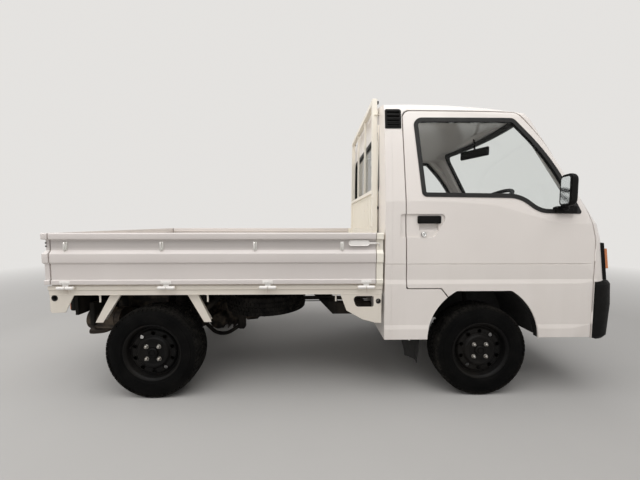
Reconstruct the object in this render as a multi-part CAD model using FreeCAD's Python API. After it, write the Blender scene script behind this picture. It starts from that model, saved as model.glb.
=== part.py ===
import FreeCAD, Part
import math
import os

# Kei truck: cab over the front wheels, drop-side load bed behind, engine at the back.
# Millimetres. +X points forward, +Y to the truck's left, +Z up.
# The origin is on the ground, midway along and across the truck.

V = FreeCAD.Vector

# Overall
length = 3295.0
tail_x = -length / 2
nose_x = length / 2
wheelbase = 1885.0
front_axle_x = 802.0
rear_axle_x = front_axle_x - wheelbase

# Clearances
pin_clearance = 0.3
panel_gap = 6.0

# Tyres and wheels
tyre_radius = 267.0
tyre_width = 145.0
track_half = 605.0
axle_z = tyre_radius
rim_radius = 155.0
rim_wall = 6.0
rim_lip = 11.0
rim_lip_width = 5.0
nave_radius = 95.0
hub_radius = 32.0
spindle_radius = 14.0
vent_count = 10
vent_radius = 11.5
vent_circle = 116.0
nut_count = 4
nut_circle = 50.0
nut_radius = 10.0
nut_reach = 12.5
rim_face_depth = 10.0

# Steering
kingpin_y = track_half - tyre_width / 2 - 12.5
kingpin_radius = 20.0
kingpin_low_z = 185.0
kingpin_high_z = 395.0
wheel_tilt = 30.0
steering_x = 978.0
steering_y = -335.0
steering_z = 1132.0
steering_radius = 185.0
steering_rim = 12.0
column_radius = 20.0

# Cab envelope
cab_rear_x = 235.0
cab_half_width = 690.0
cab_wall = 40.0
cab_bottom_z = 345.0
belt_z = 1120.0
roof_half_width = 614.0
roof_edge_z = 1680.0
roof_crown_z = 1765.0
roof_edge_radius = 60.0
roof_long_radius = 5000.0
roof_high_x = 400.0
front_bow = 50.0
rear_flare = 40.0
cowl_z = 1000.0
# z, front x on the centreline, half width at the corner, corner radius
front_sections = [
    (cab_bottom_z, 1590.0, 686.0, 110.0),
    (660.0, 1600.0, 686.0, 110.0),
    (910.0, 1568.0, 686.0, 110.0),
    (cowl_z, 1542.0, 684.0, 110.0),
    (1610.0, 1176.0, 614.0, 102.0),
    (1640.0, 1155.0, 608.0, 110.0),
    (1670.0, 1125.0, 600.0, 130.0),
    (1695.0, 1080.0, 585.0, 150.0),
    (1715.0, 1010.0, 560.0, 180.0),
    (1800.0, 650.0, 500.0, 220.0),
]
# z and how far the outer skin stands back: the shoulder at the belt, and its slope carried on below,
# outside the straight sides, so that the two meet in a clean line
shoulder_profile = [
    (belt_z + 14.0, 1.5),
    (belt_z - 140.0, -15.0),
]
# the same for what runs level along the sides: groove, tucked band, rocker
side_profile = [
    (779.0, 1.0),
    (777.5, 4.0),
    (773.5, 4.0),
    (772.0, 1.5),
    (688.0, 6.0),
    (664.0, 1.0),
    (428.0, 4.0),
    (404.0, 0.0),
]
arch_radius = 320.0
arch_centre_z = 344.0
arch_top_z = 623.0
wheelhouse_inner_y = 360.0
wheelhouse_wall = 10.0
seat_deck_z = 675.0
seat_y = (75.0, 570.0)
cushion_x = (480.0, 960.0)
cushion_top_z = 800.0
cushion_round = 30.0
seat_back_top_z = 1310.0
dash_half_width = 600.0
interior_mirror_place = (1102.0, 1552.0)
interior_mirror_size = (24.0, 230.0, 66.0)
interior_mirror_turn = 27.0
interior_mirror_stem = (4.0, -16.0)
foot_pan_z = 485.0
floor_half_width = 636.0

# Doors
door_front_x = 1425.0
door_bottom_z = 352.0
door_top_z = 1638.0
door_rear_low = (362.0, 640.0)
door_rear_high_x = 338.0
door_sill_x = 620.0
door_sill_slope = (558.0, 563.0)
hinge_x = door_front_x + panel_gap - 1.0
hinge_y = cab_half_width - 4.0
hinge_radius = hinge_x - door_front_x - pin_clearance
hinge_spans = [(430.0, 500.0), (790.0, 860.0)]
door_inner_y = 600.0
door_swing_radius = 110.0
glass_depth = 10.0
glass_thickness = 5.0

# Door handles, vents and window rubbers
recess_depth = 9.0
handle_x = (414.0, 545.0)
handle_z = (1003.0, 1047.0)
handle_proud = 5.0
handle_round = 8.0
bowl_radius = 40.0
bowl_depth = 17.0
key_x = 450.0
key_z = 943.0
key_radius = 12.5
vent_depth = 8.0
vent_slot_x = (250.0, 320.0)
vent_slot_height = 9.0
vent_slot_pitch = 24.0
seal_width = 24.0
seal_proud = 3.0
seal_depth = 18.0

# Door mirrors: the rear face's middle, and the housing turned so that its outer edge trails
mirror_x = 1180.0
mirror_y = 752.0
mirror_z = (1096.0, 1266.0)
mirror_width = 108.0
mirror_depth = 34.0
mirror_turn = 15.0
mirror_round = 15.0
mirror_foot_x = (1190.0, 1296.0)
mirror_foot_y = (672.0, 703.0)
mirror_foot_z = (1060.0, 1100.0)
mirror_arm_radius = 11.0

# Lamps: how far each stands proud of the front panel, and its place across and up
bezel_proud = 10.0
bezel_y = (330.0, 668.0)
bezel_z = (683.0, 892.0)
lens_proud = 14.0
lens_y = (350.0, 525.0)
lens_z = (690.0, 870.0)
turn_lamp_proud = 18.0
turn_lamp_y = (545.0, 660.0)
turn_lamp_z = (745.0, 860.0)
front_reach = (1200.0, 1800.0)
tail_lamp_y = (400.0, 560.0)
tail_lamp_z = (480.0, 580.0)
plate_half_width = 165.0
plate_z = (430.0, 595.0)
plate_thickness = 3.0

# Bumper: z and how far its outer face stands back
bumper_corner = 130.0
bumper_profile = [
    (333.0, 26.0),
    (339.0, 15.0),
    (357.0, 6.0),
    (539.0, 0.0),
    (655.0, 3.0),
    (671.0, 9.0),
    (679.0, 22.0),
]

# Load bed
bed_front_x = 224.0
bed_half_width = 697.5
gate_thickness = 37.0
gate_bottom_z = 668.0
gate_top_z = 952.0
post_width = 37.5
gate_gap = 4.0
deck_top_z = 662.0
deck_thickness = 17.0
sill_y = bed_half_width - 14.5
sill_inner_y = bed_half_width - 97.5
sill_top_z = 657.0
sill_step_y = bed_half_width - gate_thickness - 5.5
sill_bottom_z = 608.0
gate_hinge_z = 648.0
gate_hinge_inset = 7.0
gate_hinge_radius = 6.5
gate_pin_radius = 3.5
gate_hinge_length = 100.0
side_hinge_xs = [-1530.0, -980.0, -420.0, 130.0]
tail_hinge_ys = [-450.0, 0.0, 450.0]
# height, depth of the outer face below the widest point
gate_profile = [
    (gate_top_z, 3.0),
    (gate_top_z - 4.0, 0.0),
    (918.0, 0.0),
    (914.0, 14.0),
    (857.0, 14.0),
    (838.0, 0.0),
    (790.0, 0.0),
    (781.0, 7.5),
    (694.0, 7.5),
    (690.0, 3.0),
    (gate_bottom_z, 3.0),
]

# x, z and radius of the rope holes in the corner plates
rear_hole = (-1603.0, 590.0, 14.0)
front_hole = (202.0, 565.0, 11.0)

# Guard frame behind the cab
guard_x = 195.0
guard_depth = 30.0
guard_top_z = 1765.0
guard_half_top = 480.0
guard_half_bottom = 520.0
guard_tube = 30.0
guard_mid_z = 1190.0
guard_mid_height = 22.0
guard_bar_ys = [-155.0, 155.0]
guard_bar_width = 14.0
guard_seat = 1.0

# Chassis
rail_inner_y = 270.0
rail_outer_y = 320.0
rail_rear_x = tail_x + gate_thickness + 35.0
rail_front_x = 1500.0
rail_rear_low_z = 565.0
rail_front_low_z = 375.0
rail_height = 80.0
member_width = 50.0
tail_bar_depth = 18.0
tail_bar_half_width = 560.0
tail_bar_z = (455.0, 600.0)

# Front and rear suspension
ball_joint_radius = 18.0
ball_joint_height = 24.0
arm_radius = 12.0
arm_inner_y = 250.0
strut_radius = 13.0
strut_top_y = 440.0
strut_seat_radius = 24.0
strut_seat_height = 30.0
hub_plate_radius = 100.0
hub_plate_y = (kingpin_y + 28.0, kingpin_y + 36.0)
axle_tube_radius = 28.0
axle_half_length = 500.0
axle_hub_radius = 60.0
differential_radius = 95.0
spring_radius = 38.0
spring_y = 295.0
trailing_arm_x = -790.0
trailing_arm_radius = 18.0

# Under the bed
engine_x = (-1540.0, -1190.0)
engine_z = (250.0, 585.0)
muffler_x = (rail_rear_x + 0.5, rail_rear_x + 200.5)
muffler_y = -440.0
muffler_z = 400.0
muffler_radius = 68.0
pipe_x = -1480.0
pipe_radius = 18.0
tank_x = (-165.0, 150.0)
tank_y = (rail_outer_y, 600.0)
tank_z = (400.0, 600.0)
tank_round = 25.0
spare_x = -487.0
spare_y = -330.0
spare_half_width = 62.5
flap_y = (545.0, 672.0)
flap_z = (200.0, 345.0)
flap_x = 380.0
flap_lean = 40.0
flap_thickness = 4.0

shapes = {}


def place(a, b, plane, offset=0.0):
    # a and b are the plane's two coordinates, in X, Y, Z order
    if plane == "xz":
        return V(a, offset, b)
    if plane == "yz":
        return V(offset, a, b)
    return V(a, b, offset)


def outline(points, plane, offset=0.0):
    # closed wire through (a, b) or (a, b, corner radius)
    count = len(points)
    starts = []
    corners = []
    for i in range(count):
        here = place(points[i][0], points[i][1], plane, offset)
        radius = points[i][2] if len(points[i]) > 2 else 0.0
        if radius <= 0.0:
            starts.append((here, here))
            corners.append(None)
            continue
        before = place(points[i - 1][0], points[i - 1][1], plane, offset)
        after = place(points[(i + 1) % count][0], points[(i + 1) % count][1], plane, offset)
        u = (before - here).normalize()
        v = (after - here).normalize()
        half = u.getAngle(v) / 2
        run = radius / math.tan(half)
        towards = (u + v).normalize()
        middle = here + towards * (radius / math.sin(half) - radius)
        first = here + u * run
        last = here + v * run
        starts.append((first, last))
        corners.append(Part.Arc(first, middle, last).toShape())
    edges = []
    for i in range(count):
        if corners[i]:
            edges.append(corners[i])
        leave = starts[i][1]
        arrive = starts[(i + 1) % count][0]
        if leave.distanceToPoint(arrive) > 1e-6:
            edges.append(Part.makeLine(leave, arrive))
    return Part.Wire(edges)


def prism(points, plane, low, high):
    # solid with the outline's section, from low to high along the third axis
    direction = {"xz": V(0, 1, 0), "yz": V(1, 0, 0), "xy": V(0, 0, 1)}[plane]
    face = Part.Face(outline(points, plane, low))
    return face.extrude(direction * (high - low))


def block(x, y, z):
    # each of x, y, z is a (low, high) pair
    return Part.makeBox(x[1] - x[0], y[1] - y[0], z[1] - z[0], V(x[0], y[0], z[0]))


def rounded_block(x, y, z, radius):
    solid = block(x, y, z)
    return solid.makeFillet(radius, solid.Edges)


def rod(start, end, radius):
    axis = end - start
    return Part.makeCylinder(radius, axis.Length, start, axis)


def fuse(pieces):
    whole = pieces[0]
    for piece in pieces[1:]:
        whole = whole.fuse(piece)
    return whole.removeSplitter()


def mirrored(shape):
    return shape.mirror(V(0, 0, 0), V(0, 1, 0))


def both_sides(shape):
    return Part.makeCompound([shape, mirrored(shape)])


def largest(shape):
    return max(shape.Solids, key=lambda solid: solid.Volume)


# ---- cab envelope

def roof_and_sides(inset):
    # tumblehome and crowned roof, swept round a long radius from front to back
    half = cab_half_width - inset
    edge_y = roof_half_width - inset
    edge_z = roof_edge_z - inset
    crown = roof_crown_z - inset
    low = cab_bottom_z - 400.0
    right = [V(roof_high_x, -edge_y, edge_z)]
    flank = shoulder_profile if inset <= 0.0 else [(belt_z, 0.0)]
    for z, depth in flank:
        right.append(V(roof_high_x, depth - half, z))
    right.append(V(roof_high_x, flank[-1][1] - half, low))
    left = [V(p.x, -p.y, p.z) for p in reversed(right)]
    rim = Part.makePolygon(right + left)
    crown_arc = Part.Arc(left[-1], V(roof_high_x, 0, crown), right[0]).toShape()
    face = Part.Face(Part.Wire(rim.Edges + [crown_arc]))
    centre = V(roof_high_x, 0, roof_crown_z - roof_long_radius)
    face.rotate(centre, V(0, 1, 0), -5.0)
    solid = face.revolve(centre, V(0, 1, 0), 28.0)
    radius = roof_edge_radius - min(inset, roof_edge_radius - 15.0)
    edges = [e for e in solid.Edges if is_roof_edge(e, edge_y)]
    solid = solid.makeFillet(radius, edges)
    if inset > 0.0:
        return solid
    return solid.common(level_sides(half, low))


def level_sides(half, low):
    # the sides below the belt, with the features that run level from front to back
    right = [(-half, roof_crown_z + 100.0)]
    for z, depth in side_profile:
        right.append((depth - half, z))
    right.append((-half, low))
    left = [(-y, z) for y, z in reversed(right)]
    return prism(right + left, "yz", 0.0, 2000.0)


def is_roof_edge(edge, edge_y):
    box = edge.BoundBox
    return box.YLength < 1.0 and box.XLength > 500.0 and abs(abs(box.Center.y) - edge_y) < 1.0


def plan_outline(z, front_x, half, radius, inset):
    # rear edge, flared sides, round front corners and a bowed front
    rear = cab_rear_x + inset
    front = front_x - inset
    edge_x = front - front_bow
    start_x = edge_x - radius
    bow_y = half - inset - radius
    corner = radius * (1 - math.sqrt(0.5))
    points = {}
    for side in (-1, 1):
        points[side] = [
            V(rear, side * (half - inset + rear_flare), z),
            V(start_x, side * (half - inset), z),
            V(edge_x - corner, side * (half - inset - corner), z),
            V(edge_x, side * bow_y, z),
        ]
    right, left = points[-1], points[1]
    return Part.Wire([
        Part.makeLine(left[0], right[0]),
        Part.makeLine(right[0], right[1]),
        Part.Arc(right[1], right[2], right[3]).toShape(),
        Part.Arc(right[3], V(front, 0, z), left[3]).toShape(),
        Part.Arc(left[3], left[2], left[1]).toShape(),
        Part.makeLine(left[1], left[0]),
    ])


def cab_envelope(inset, drop=0.0):
    wires = []
    for z, front_x, half, radius in front_sections:
        level = z - drop if z == cab_bottom_z else z
        wires.append(plan_outline(level, front_x, half, radius, inset))
    front = Part.makeLoft(wires, True, True)
    return largest(roof_and_sides(inset).common(front))


def arch_outline(radius, top_z, low_z):
    # round wheel arch with a flat top, about the front axle
    reach = math.sqrt(radius ** 2 - (top_z - arch_centre_z) ** 2)
    left = V(front_axle_x - radius, 0, arch_centre_z)
    right = V(front_axle_x + radius, 0, arch_centre_z)
    flat_left = V(front_axle_x - reach, 0, top_z)
    flat_right = V(front_axle_x + reach, 0, top_z)
    lean = (math.atan2(top_z - arch_centre_z, reach)) / 2
    shoulder_x = radius * math.cos(lean)
    shoulder_z = arch_centre_z + radius * math.sin(lean)
    return Part.Wire([
        Part.makeLine(V(left.x, 0, low_z), left),
        Part.Arc(left, V(front_axle_x - shoulder_x, 0, shoulder_z), flat_left).toShape(),
        Part.makeLine(flat_left, flat_right),
        Part.Arc(flat_right, V(front_axle_x + shoulder_x, 0, shoulder_z), right).toShape(),
        Part.makeLine(right, V(right.x, 0, low_z)),
        Part.makeLine(V(right.x, 0, low_z), V(left.x, 0, low_z)),
    ])


def arch_tunnel(radius, top_z, low_y, high_y):
    face = Part.Face(arch_outline(radius, top_z, cab_bottom_z - 100.0))
    face.translate(V(0, low_y, 0))
    return face.extrude(V(0, high_y - low_y, 0))


def door_outline(grow):
    # grow pushes the edges out for the body's side of the gap; the hinge edge stays beside its pins
    g = grow
    return [
        (door_rear_low[0] - g, door_rear_low[1] - g, 12.0),
        (door_rear_high_x - g, door_top_z + g, 40.0),
        (995.0 + g * 0.7, door_top_z + g, 50.0),
        (1232.0 + g, 1392.0, 1000.0),
        (1378.0 + g, belt_z + 10.0, 300.0),
        (door_front_x + g, 920.0, 200.0),
        (door_front_x + g, door_bottom_z - 60.0),
        (door_sill_x - g * 0.7, door_bottom_z - 60.0),
        (door_sill_x - g * 0.7, door_sill_slope[1] - g * 0.7),
        (door_sill_slope[0] - g * 0.7, door_rear_low[1] - g, 12.0),
    ]


window_outline = [
    (438.0, 1152.0, 30.0),
    (396.0, 1600.0, 45.0),
    (974.0, 1603.0, 45.0),
    (1202.0, 1370.0, 1270.0),
    (1349.0, 1058.0, 12.0),
    (1100.0, 1062.0, 160.0),
    (985.0, 1146.0, 180.0),
]

windscreen_outline = [
    (-568.0, 1030.0, 60.0),
    (-500.0, 1652.0, 70.0),
    (500.0, 1652.0, 70.0),
    (568.0, 1030.0, 60.0),
]

rear_window_outline = [
    (-520.0, 1190.0, 50.0),
    (-490.0, 1570.0, 50.0),
    (490.0, 1570.0, 50.0),
    (520.0, 1190.0, 50.0),
]


# pressed recess round the door handle, carried on behind the door's rear edge
recess_outline = [
    (319.0, 927.0, 12.0),
    (319.0, 1056.0, 12.0),
    (566.0, 1056.0, 22.0),
    (566.0, 1022.0, 14.0),
    (508.0, 927.0, 14.0),
]

vent_outline = [
    (238.0, 1537.0, 4.0),
    (238.0, 1649.0, 10.0),
    (329.0, 1649.0, 16.0),
    (329.0, 1537.0, 4.0),
]


def skin(low, high):
    # layer of the cab between two depths below its outer surface
    return cab_envelope(low).cut(cab_envelope(high))


def door_zone(grow):
    # the door's side of the pillars: it leans in with the body above the belt
    high_y = door_inner_y - (cab_half_width - roof_half_width) * 0.6
    return prism([
        (-900.0, 0.0),
        (grow - door_inner_y, 0.0),
        (grow - door_inner_y, belt_z),
        (grow - high_y, roof_edge_z),
        (grow - high_y, 2000.0),
        (-900.0, 2000.0),
    ], "yz", 0.0, 2000.0)


def window_seal(points, plane, low, high, layer):
    # rubber strip inside a window outline, and the outline of the glass it holds
    whole = Part.Face(outline(points, plane, low))
    glass = Part.Face(outline(points, plane, low).makeOffset2D(-seal_width))
    direction = {"xz": V(0, 1, 0), "yz": V(1, 0, 0)}[plane] * (high - low)
    glass_prism = glass.extrude(direction)
    strip = layer.common(whole.extrude(direction).cut(glass_prism))
    return largest(strip), glass_prism


def build_vents(far, near):
    insert = skin(-2.0, vent_depth).common(prism(vent_outline, "xz", -far, -near))
    groove_layer = skin(-5.0, vent_depth - 4.0)
    middle = (vent_outline[0][1] + vent_outline[1][1]) / 2
    for i in range(4):
        z = middle + (i - 1.5) * vent_slot_pitch
        slot = block(vent_slot_x, (-far, -near), (z - vent_slot_height / 2, z + vent_slot_height / 2))
        insert = insert.cut(groove_layer.common(slot))
    shapes["cab_vents"] = both_sides(insert)


def build_handles():
    y = cab_half_width
    handle = rounded_block(handle_x, (-y - handle_proud, -y + recess_depth + 6.0), handle_z, handle_round)
    handle = handle.cut(shapes["door_right"])
    key = rod(V(key_x, -y - 2.0, key_z), V(key_x, -y + recess_depth, key_z), key_radius)
    shapes["door_handle_right"] = Part.makeCompound([largest(handle), key.cut(shapes["door_right"])])
    shapes["door_handle_left"] = mirrored(shapes["door_handle_right"])


def build_cab():
    outer = cab_envelope(0.0)
    inner = cab_envelope(cab_wall, drop=60.0)
    shell = outer.cut(inner)
    windscreen_cut = prism(windscreen_outline, "yz", 1000.0, 1700.0)
    rear_window_cut = prism(rear_window_outline, "yz", 200.0, 300.0)
    far = cab_half_width + 60.0
    near = cab_half_width - 190.0
    window_cut = prism(window_outline, "xz", -far, -near)
    door_cut = prism(door_outline(panel_gap), "xz", -far, -near).common(door_zone(panel_gap))
    door_keep = prism(door_outline(0.0), "xz", -far, -near).common(door_zone(0.0))
    arch = arch_tunnel(arch_radius, arch_top_z, -far, -near)
    sill_line = block((0, 2000), (-far, -near), (0, door_bottom_z))

    # recess with a finger bowl behind the handle
    pocket = skin(-5.0, recess_depth).common(prism(recess_outline, "xz", -far, -near))
    bowl_y = -cab_half_width + recess_depth + bowl_depth - bowl_radius
    bowl_z = handle_z[0] - 8.0
    bowl = rod(V(handle_x[0] + 12.0, bowl_y, bowl_z), V(handle_x[1] - 12.0, bowl_y, bowl_z), bowl_radius)
    vent = skin(-5.0, vent_depth).common(prism(vent_outline, "xz", -far, -near))
    shell = shell.cut(both_sides(pocket)).cut(both_sides(bowl)).cut(both_sides(vent))
    build_vents(far, near)

    pane = skin(glass_depth, glass_depth + glass_thickness)
    rubber = skin(-seal_proud, seal_depth)
    screen_seal, screen_prism = window_seal(windscreen_outline, "yz", 1000.0, 1700.0, rubber)
    rear_seal, rear_prism = window_seal(rear_window_outline, "yz", 200.0, 300.0, rubber)
    door_seal, door_prism = window_seal(window_outline, "xz", -far, -near, rubber)
    shapes["windscreen"] = largest(pane.common(screen_prism))
    shapes["rear_window"] = largest(pane.common(rear_prism))
    shapes["window_seals"] = Part.makeCompound([screen_seal, rear_seal])

    door = shell.common(door_keep).cut(window_cut).cut(arch).cut(sill_line)
    shapes["door_right"] = largest(door)
    shapes["door_left"] = mirrored(shapes["door_right"])
    shapes["door_glass_right"] = largest(pane.common(door_prism))
    shapes["door_glass_left"] = mirrored(shapes["door_glass_right"])
    shapes["door_seal_right"] = door_seal
    shapes["door_seal_left"] = mirrored(door_seal)
    build_handles()

    body = shell.cut(windscreen_cut).cut(rear_window_cut)
    body = body.cut(both_sides(door_cut)).cut(both_sides(arch))
    rear = block((0, cab_rear_x + cab_wall), (-900, 900), (0, 2000))
    front = block((1000, 2000), (-900, 900), (0, cowl_z))
    roof = fuse([
        block((cab_rear_x + cab_wall, 2000), (-900, 900), (door_top_z - 30.0, 2000)),
        block((900, 2000), (-900, 900), (cowl_z, 2000)),
    ])
    shapes["cab_rear_panel"] = body.common(rear)
    front_panel = largest(body.common(front))
    for side in (-1, 1):
        for low, high in hinge_spans:
            pin = Part.makeCylinder(hinge_radius, high - low, V(hinge_x, side * hinge_y, low))
            front_panel = front_panel.fuse(pin)
    shapes["cab_front_panel"] = front_panel
    shapes["cab_roof"] = body.common(roof)
    shapes["cab_side_panels"] = body.cut(rear).cut(front).cut(roof)
    return outer, inner


def build_floor(inner):
    deck = block((cab_rear_x + cab_wall, front_axle_x + arch_radius + 12.0),
                 (-floor_half_width, floor_half_width), (360.0, seat_deck_z))
    pan = block((front_axle_x + arch_radius - 10.0, 1530.0), (-floor_half_width, floor_half_width),
                (foot_pan_z - 30.0, foot_pan_z))
    floor = deck.fuse(pan)
    tunnel = arch_tunnel(arch_radius + 5.0, arch_top_z + wheelhouse_wall,
                         wheelhouse_inner_y, floor_half_width + 20.0)
    floor = floor.cut(both_sides(tunnel))
    middle = block((cab_rear_x + cab_wall + 25.0, front_axle_x + arch_radius - 12.0),
                   (-wheelhouse_inner_y + wheelhouse_wall, wheelhouse_inner_y - wheelhouse_wall),
                   (300.0, seat_deck_z - 20.0))
    corner = block((cab_rear_x + cab_wall + 25.0, front_axle_x - arch_radius - 20.0),
                   (wheelhouse_inner_y, floor_half_width - 20.0), (300.0, seat_deck_z - 20.0))
    floor = floor.cut(middle).cut(both_sides(corner))
    return floor.common(inner)


def build_rails():
    top = rail_front_low_z + rail_height
    side = [
        (rail_rear_x, rail_rear_low_z),
        (-215.0, rail_rear_low_z),
        (-35.0, rail_front_low_z),
        (rail_front_x, rail_front_low_z),
        (rail_front_x, top),
        (5.0, top),
        (-175.0, deck_top_z - deck_thickness),
        (rail_rear_x, deck_top_z - deck_thickness),
    ]
    rails = both_sides(prism(side, "xz", rail_inner_y, rail_outer_y)).Solids
    # x, low z, height of each cross-member
    members = [
        (-1560.0, 590.0, 50.0),
        (-1030.0, 590.0, 50.0),
        (-420.0, 590.0, 50.0),
        (150.0, 385.0, 60.0),
        (1400.0, 385.0, 60.0),
    ]
    pieces = list(rails)
    for x, low, height in members:
        pieces.append(block((x, x + member_width), (-rail_inner_y, rail_inner_y), (low, low + height)))
    return fuse(pieces)


# ---- load bed

def gate_section(widest, inner):
    # closed section of a gate, its outer face stepped; widest and inner are distances outward
    section = [(widest - depth, z) for z, depth in gate_profile]
    section.append((inner, gate_bottom_z))
    section.append((inner, gate_top_z))
    return section


def gate_hinge(centre, along, out, length_):
    # returns the bed's barrels with their pin, and the gate's barrel with its leaf
    third = length_ / 3
    start = centre - along * (length_ / 2)
    pin = Part.makeCylinder(gate_pin_radius, length_, start, along)
    fixed = [pin]
    for shift in (0.0, 2 * third):
        fixed.append(Part.makeCylinder(gate_hinge_radius, third, start + along * shift, along))
    span = third - 2 * pin_clearance
    first = start + along * (third + pin_clearance)
    barrel = Part.makeCylinder(gate_hinge_radius, span, first, along)
    leaf_height = gate_bottom_z - gate_hinge_z + 1.0
    leaf_width = 4.0
    leaf = Part.makeBox(span, leaf_width, leaf_height)
    turn = FreeCAD.Rotation(along, out, V(0, 0, 1), "XYZ")
    leaf.Placement = FreeCAD.Placement(first - out * (leaf_width / 2), turn)
    moving = barrel.fuse(leaf)
    hole = Part.makeCylinder(gate_pin_radius + pin_clearance, length_, start, along)
    seat_depth = gate_hinge_inset + 0.5
    seats = []
    for shift in (0.0, 2 * third):
        seat = Part.makeBox(third, seat_depth, 2 * gate_hinge_radius)
        corner = start + along * shift - out * seat_depth - V(0, 0, gate_hinge_radius)
        seat.Placement = FreeCAD.Placement(corner, turn)
        seats.append(seat)
    return fixed + seats, moving.cut(hole)


def build_bed():
    rear_x = tail_x + gate_thickness + 5.0
    inside = (-sill_inner_y, sill_inner_y)
    deck = block((rear_x, bed_front_x), inside, (deck_top_z - deck_thickness, deck_top_z))
    sill = [
        (sill_inner_y, sill_bottom_z),
        (sill_y - 5.0, sill_bottom_z),
        (sill_y - 5.0, sill_bottom_z + 24.0),
        (sill_y, sill_bottom_z + 28.0),
        (sill_y, sill_top_z),
        (sill_step_y, sill_top_z),
        (sill_step_y, deck_top_z),
        (sill_inner_y, deck_top_z),
    ]
    sills = both_sides(prism(sill, "yz", rear_x - gate_thickness + 9.5, bed_front_x)).Solids
    rear_sill = block((tail_x + 14.5, rear_x + 30.0), inside, (sill_bottom_z, sill_top_z))
    pieces = [deck, rear_sill] + list(sills)
    cross_z = (sill_bottom_z + 10.0, deck_top_z - 1.0)
    for x in (-1300.0, -700.0, -150.0):
        pieces.append(block((x, x + 40.0), (-sill_inner_y, -rail_outer_y), cross_z))
        pieces.append(block((x, x + 40.0), (rail_outer_y, sill_inner_y), cross_z))
    return pieces


def build_gates(bed_pieces):
    low_x = tail_x + gate_thickness + gate_gap + 4.0
    high_x = bed_front_x - post_width - gate_gap
    side = prism(gate_section(bed_half_width, bed_half_width - gate_thickness), "yz", low_x, high_x)
    hinge_line = bed_half_width - gate_hinge_inset
    moving = []
    for x in side_hinge_xs:
        fixed, leaf = gate_hinge(V(x, hinge_line, gate_hinge_z), V(1, 0, 0), V(0, 1, 0), gate_hinge_length)
        bed_pieces.extend(fixed)
        bed_pieces.extend([mirrored(piece) for piece in fixed])
        moving.append(leaf)
    # latch lever in the upper recess, hooked over the front post
    lever = block((30.0, 145.0), (bed_half_width - 15.0, bed_half_width - 1.0), (880.0, 912.0))
    hook = block((140.0, 205.0), (bed_half_width - 9.0, bed_half_width - 3.0), (888.0, 900.0))
    left = fuse([side, lever, hook] + moving)
    shapes["side_gate_left"] = left
    shapes["side_gate_right"] = mirrored(left)

    section = [(-a, b) for a, b in gate_section(-tail_x, -tail_x - gate_thickness)]
    tail = prism(section, "xz", -bed_half_width, bed_half_width)
    band = [(bed_half_width - depth, z) for z, depth in gate_profile]
    across = band + [(-y, z) for y, z in reversed(band)]
    tail = tail.common(prism(across, "yz", tail_x - 10.0, tail_x + 100.0))
    moving = []
    for y in tail_hinge_ys:
        fixed, leaf = gate_hinge(V(tail_x + gate_hinge_inset, y, gate_hinge_z), V(0, 1, 0), V(-1, 0, 0),
                                 gate_hinge_length)
        bed_pieces.extend(fixed)
        moving.append(leaf)
    shapes["tailgate"] = fuse([tail] + moving)
    section = gate_section(bed_half_width, bed_half_width - gate_thickness)
    post = prism(section, "yz", bed_front_x - post_width, bed_front_x)
    foot = block((bed_front_x - post_width, bed_front_x), (bed_half_width - gate_thickness, sill_y),
                 (sill_top_z, gate_bottom_z))
    return post.fuse(foot)


def build_guard(post):
    x = (guard_x, guard_x + guard_depth)
    half = bed_half_width - gate_thickness
    foot_z = deck_top_z - guard_seat
    headboard = block((guard_x + 10.0, bed_front_x), (-half, half), (foot_z, gate_top_z - 4.0))
    upright = [
        (guard_half_bottom, foot_z),
        (guard_half_bottom, gate_top_z),
        (guard_half_top, guard_top_z),
        (guard_half_top - guard_tube, guard_top_z),
        (guard_half_bottom - guard_tube, gate_top_z),
        (guard_half_bottom - guard_tube, foot_z),
    ]
    uprights = both_sides(prism(upright, "yz", x[0], x[1])).Solids
    inner = guard_half_top - guard_tube / 2
    top = block(x, (-inner, inner), (guard_top_z - guard_tube, guard_top_z))
    share = (guard_mid_z - gate_top_z) / (guard_top_z - gate_top_z)
    mid_half = guard_half_bottom - (guard_half_bottom - guard_half_top) * share - guard_tube / 2
    mid = block(x, (-mid_half, mid_half), (guard_mid_z, guard_mid_z + guard_mid_height))
    panel_z = (gate_top_z - 10.0, guard_mid_z + 2.0)
    panel = block((guard_x + 12.0, guard_x + 18.0), (-mid_half, mid_half), panel_z)
    bars = []
    for y in guard_bar_ys:
        bars.append(block((guard_x + 8.0, guard_x + 8.0 + guard_bar_width),
                          (y - guard_bar_width / 2, y + guard_bar_width / 2), (guard_mid_z, guard_top_z - 5.0)))
    posts = both_sides(post).Solids
    return fuse([headboard, top, mid, panel] + list(uprights) + bars + list(posts))


def rope_hole(hole, y):
    x, z, radius = hole
    return rod(V(x, y - 10.0, z), V(x, y + 10.0, z), radius)


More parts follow.
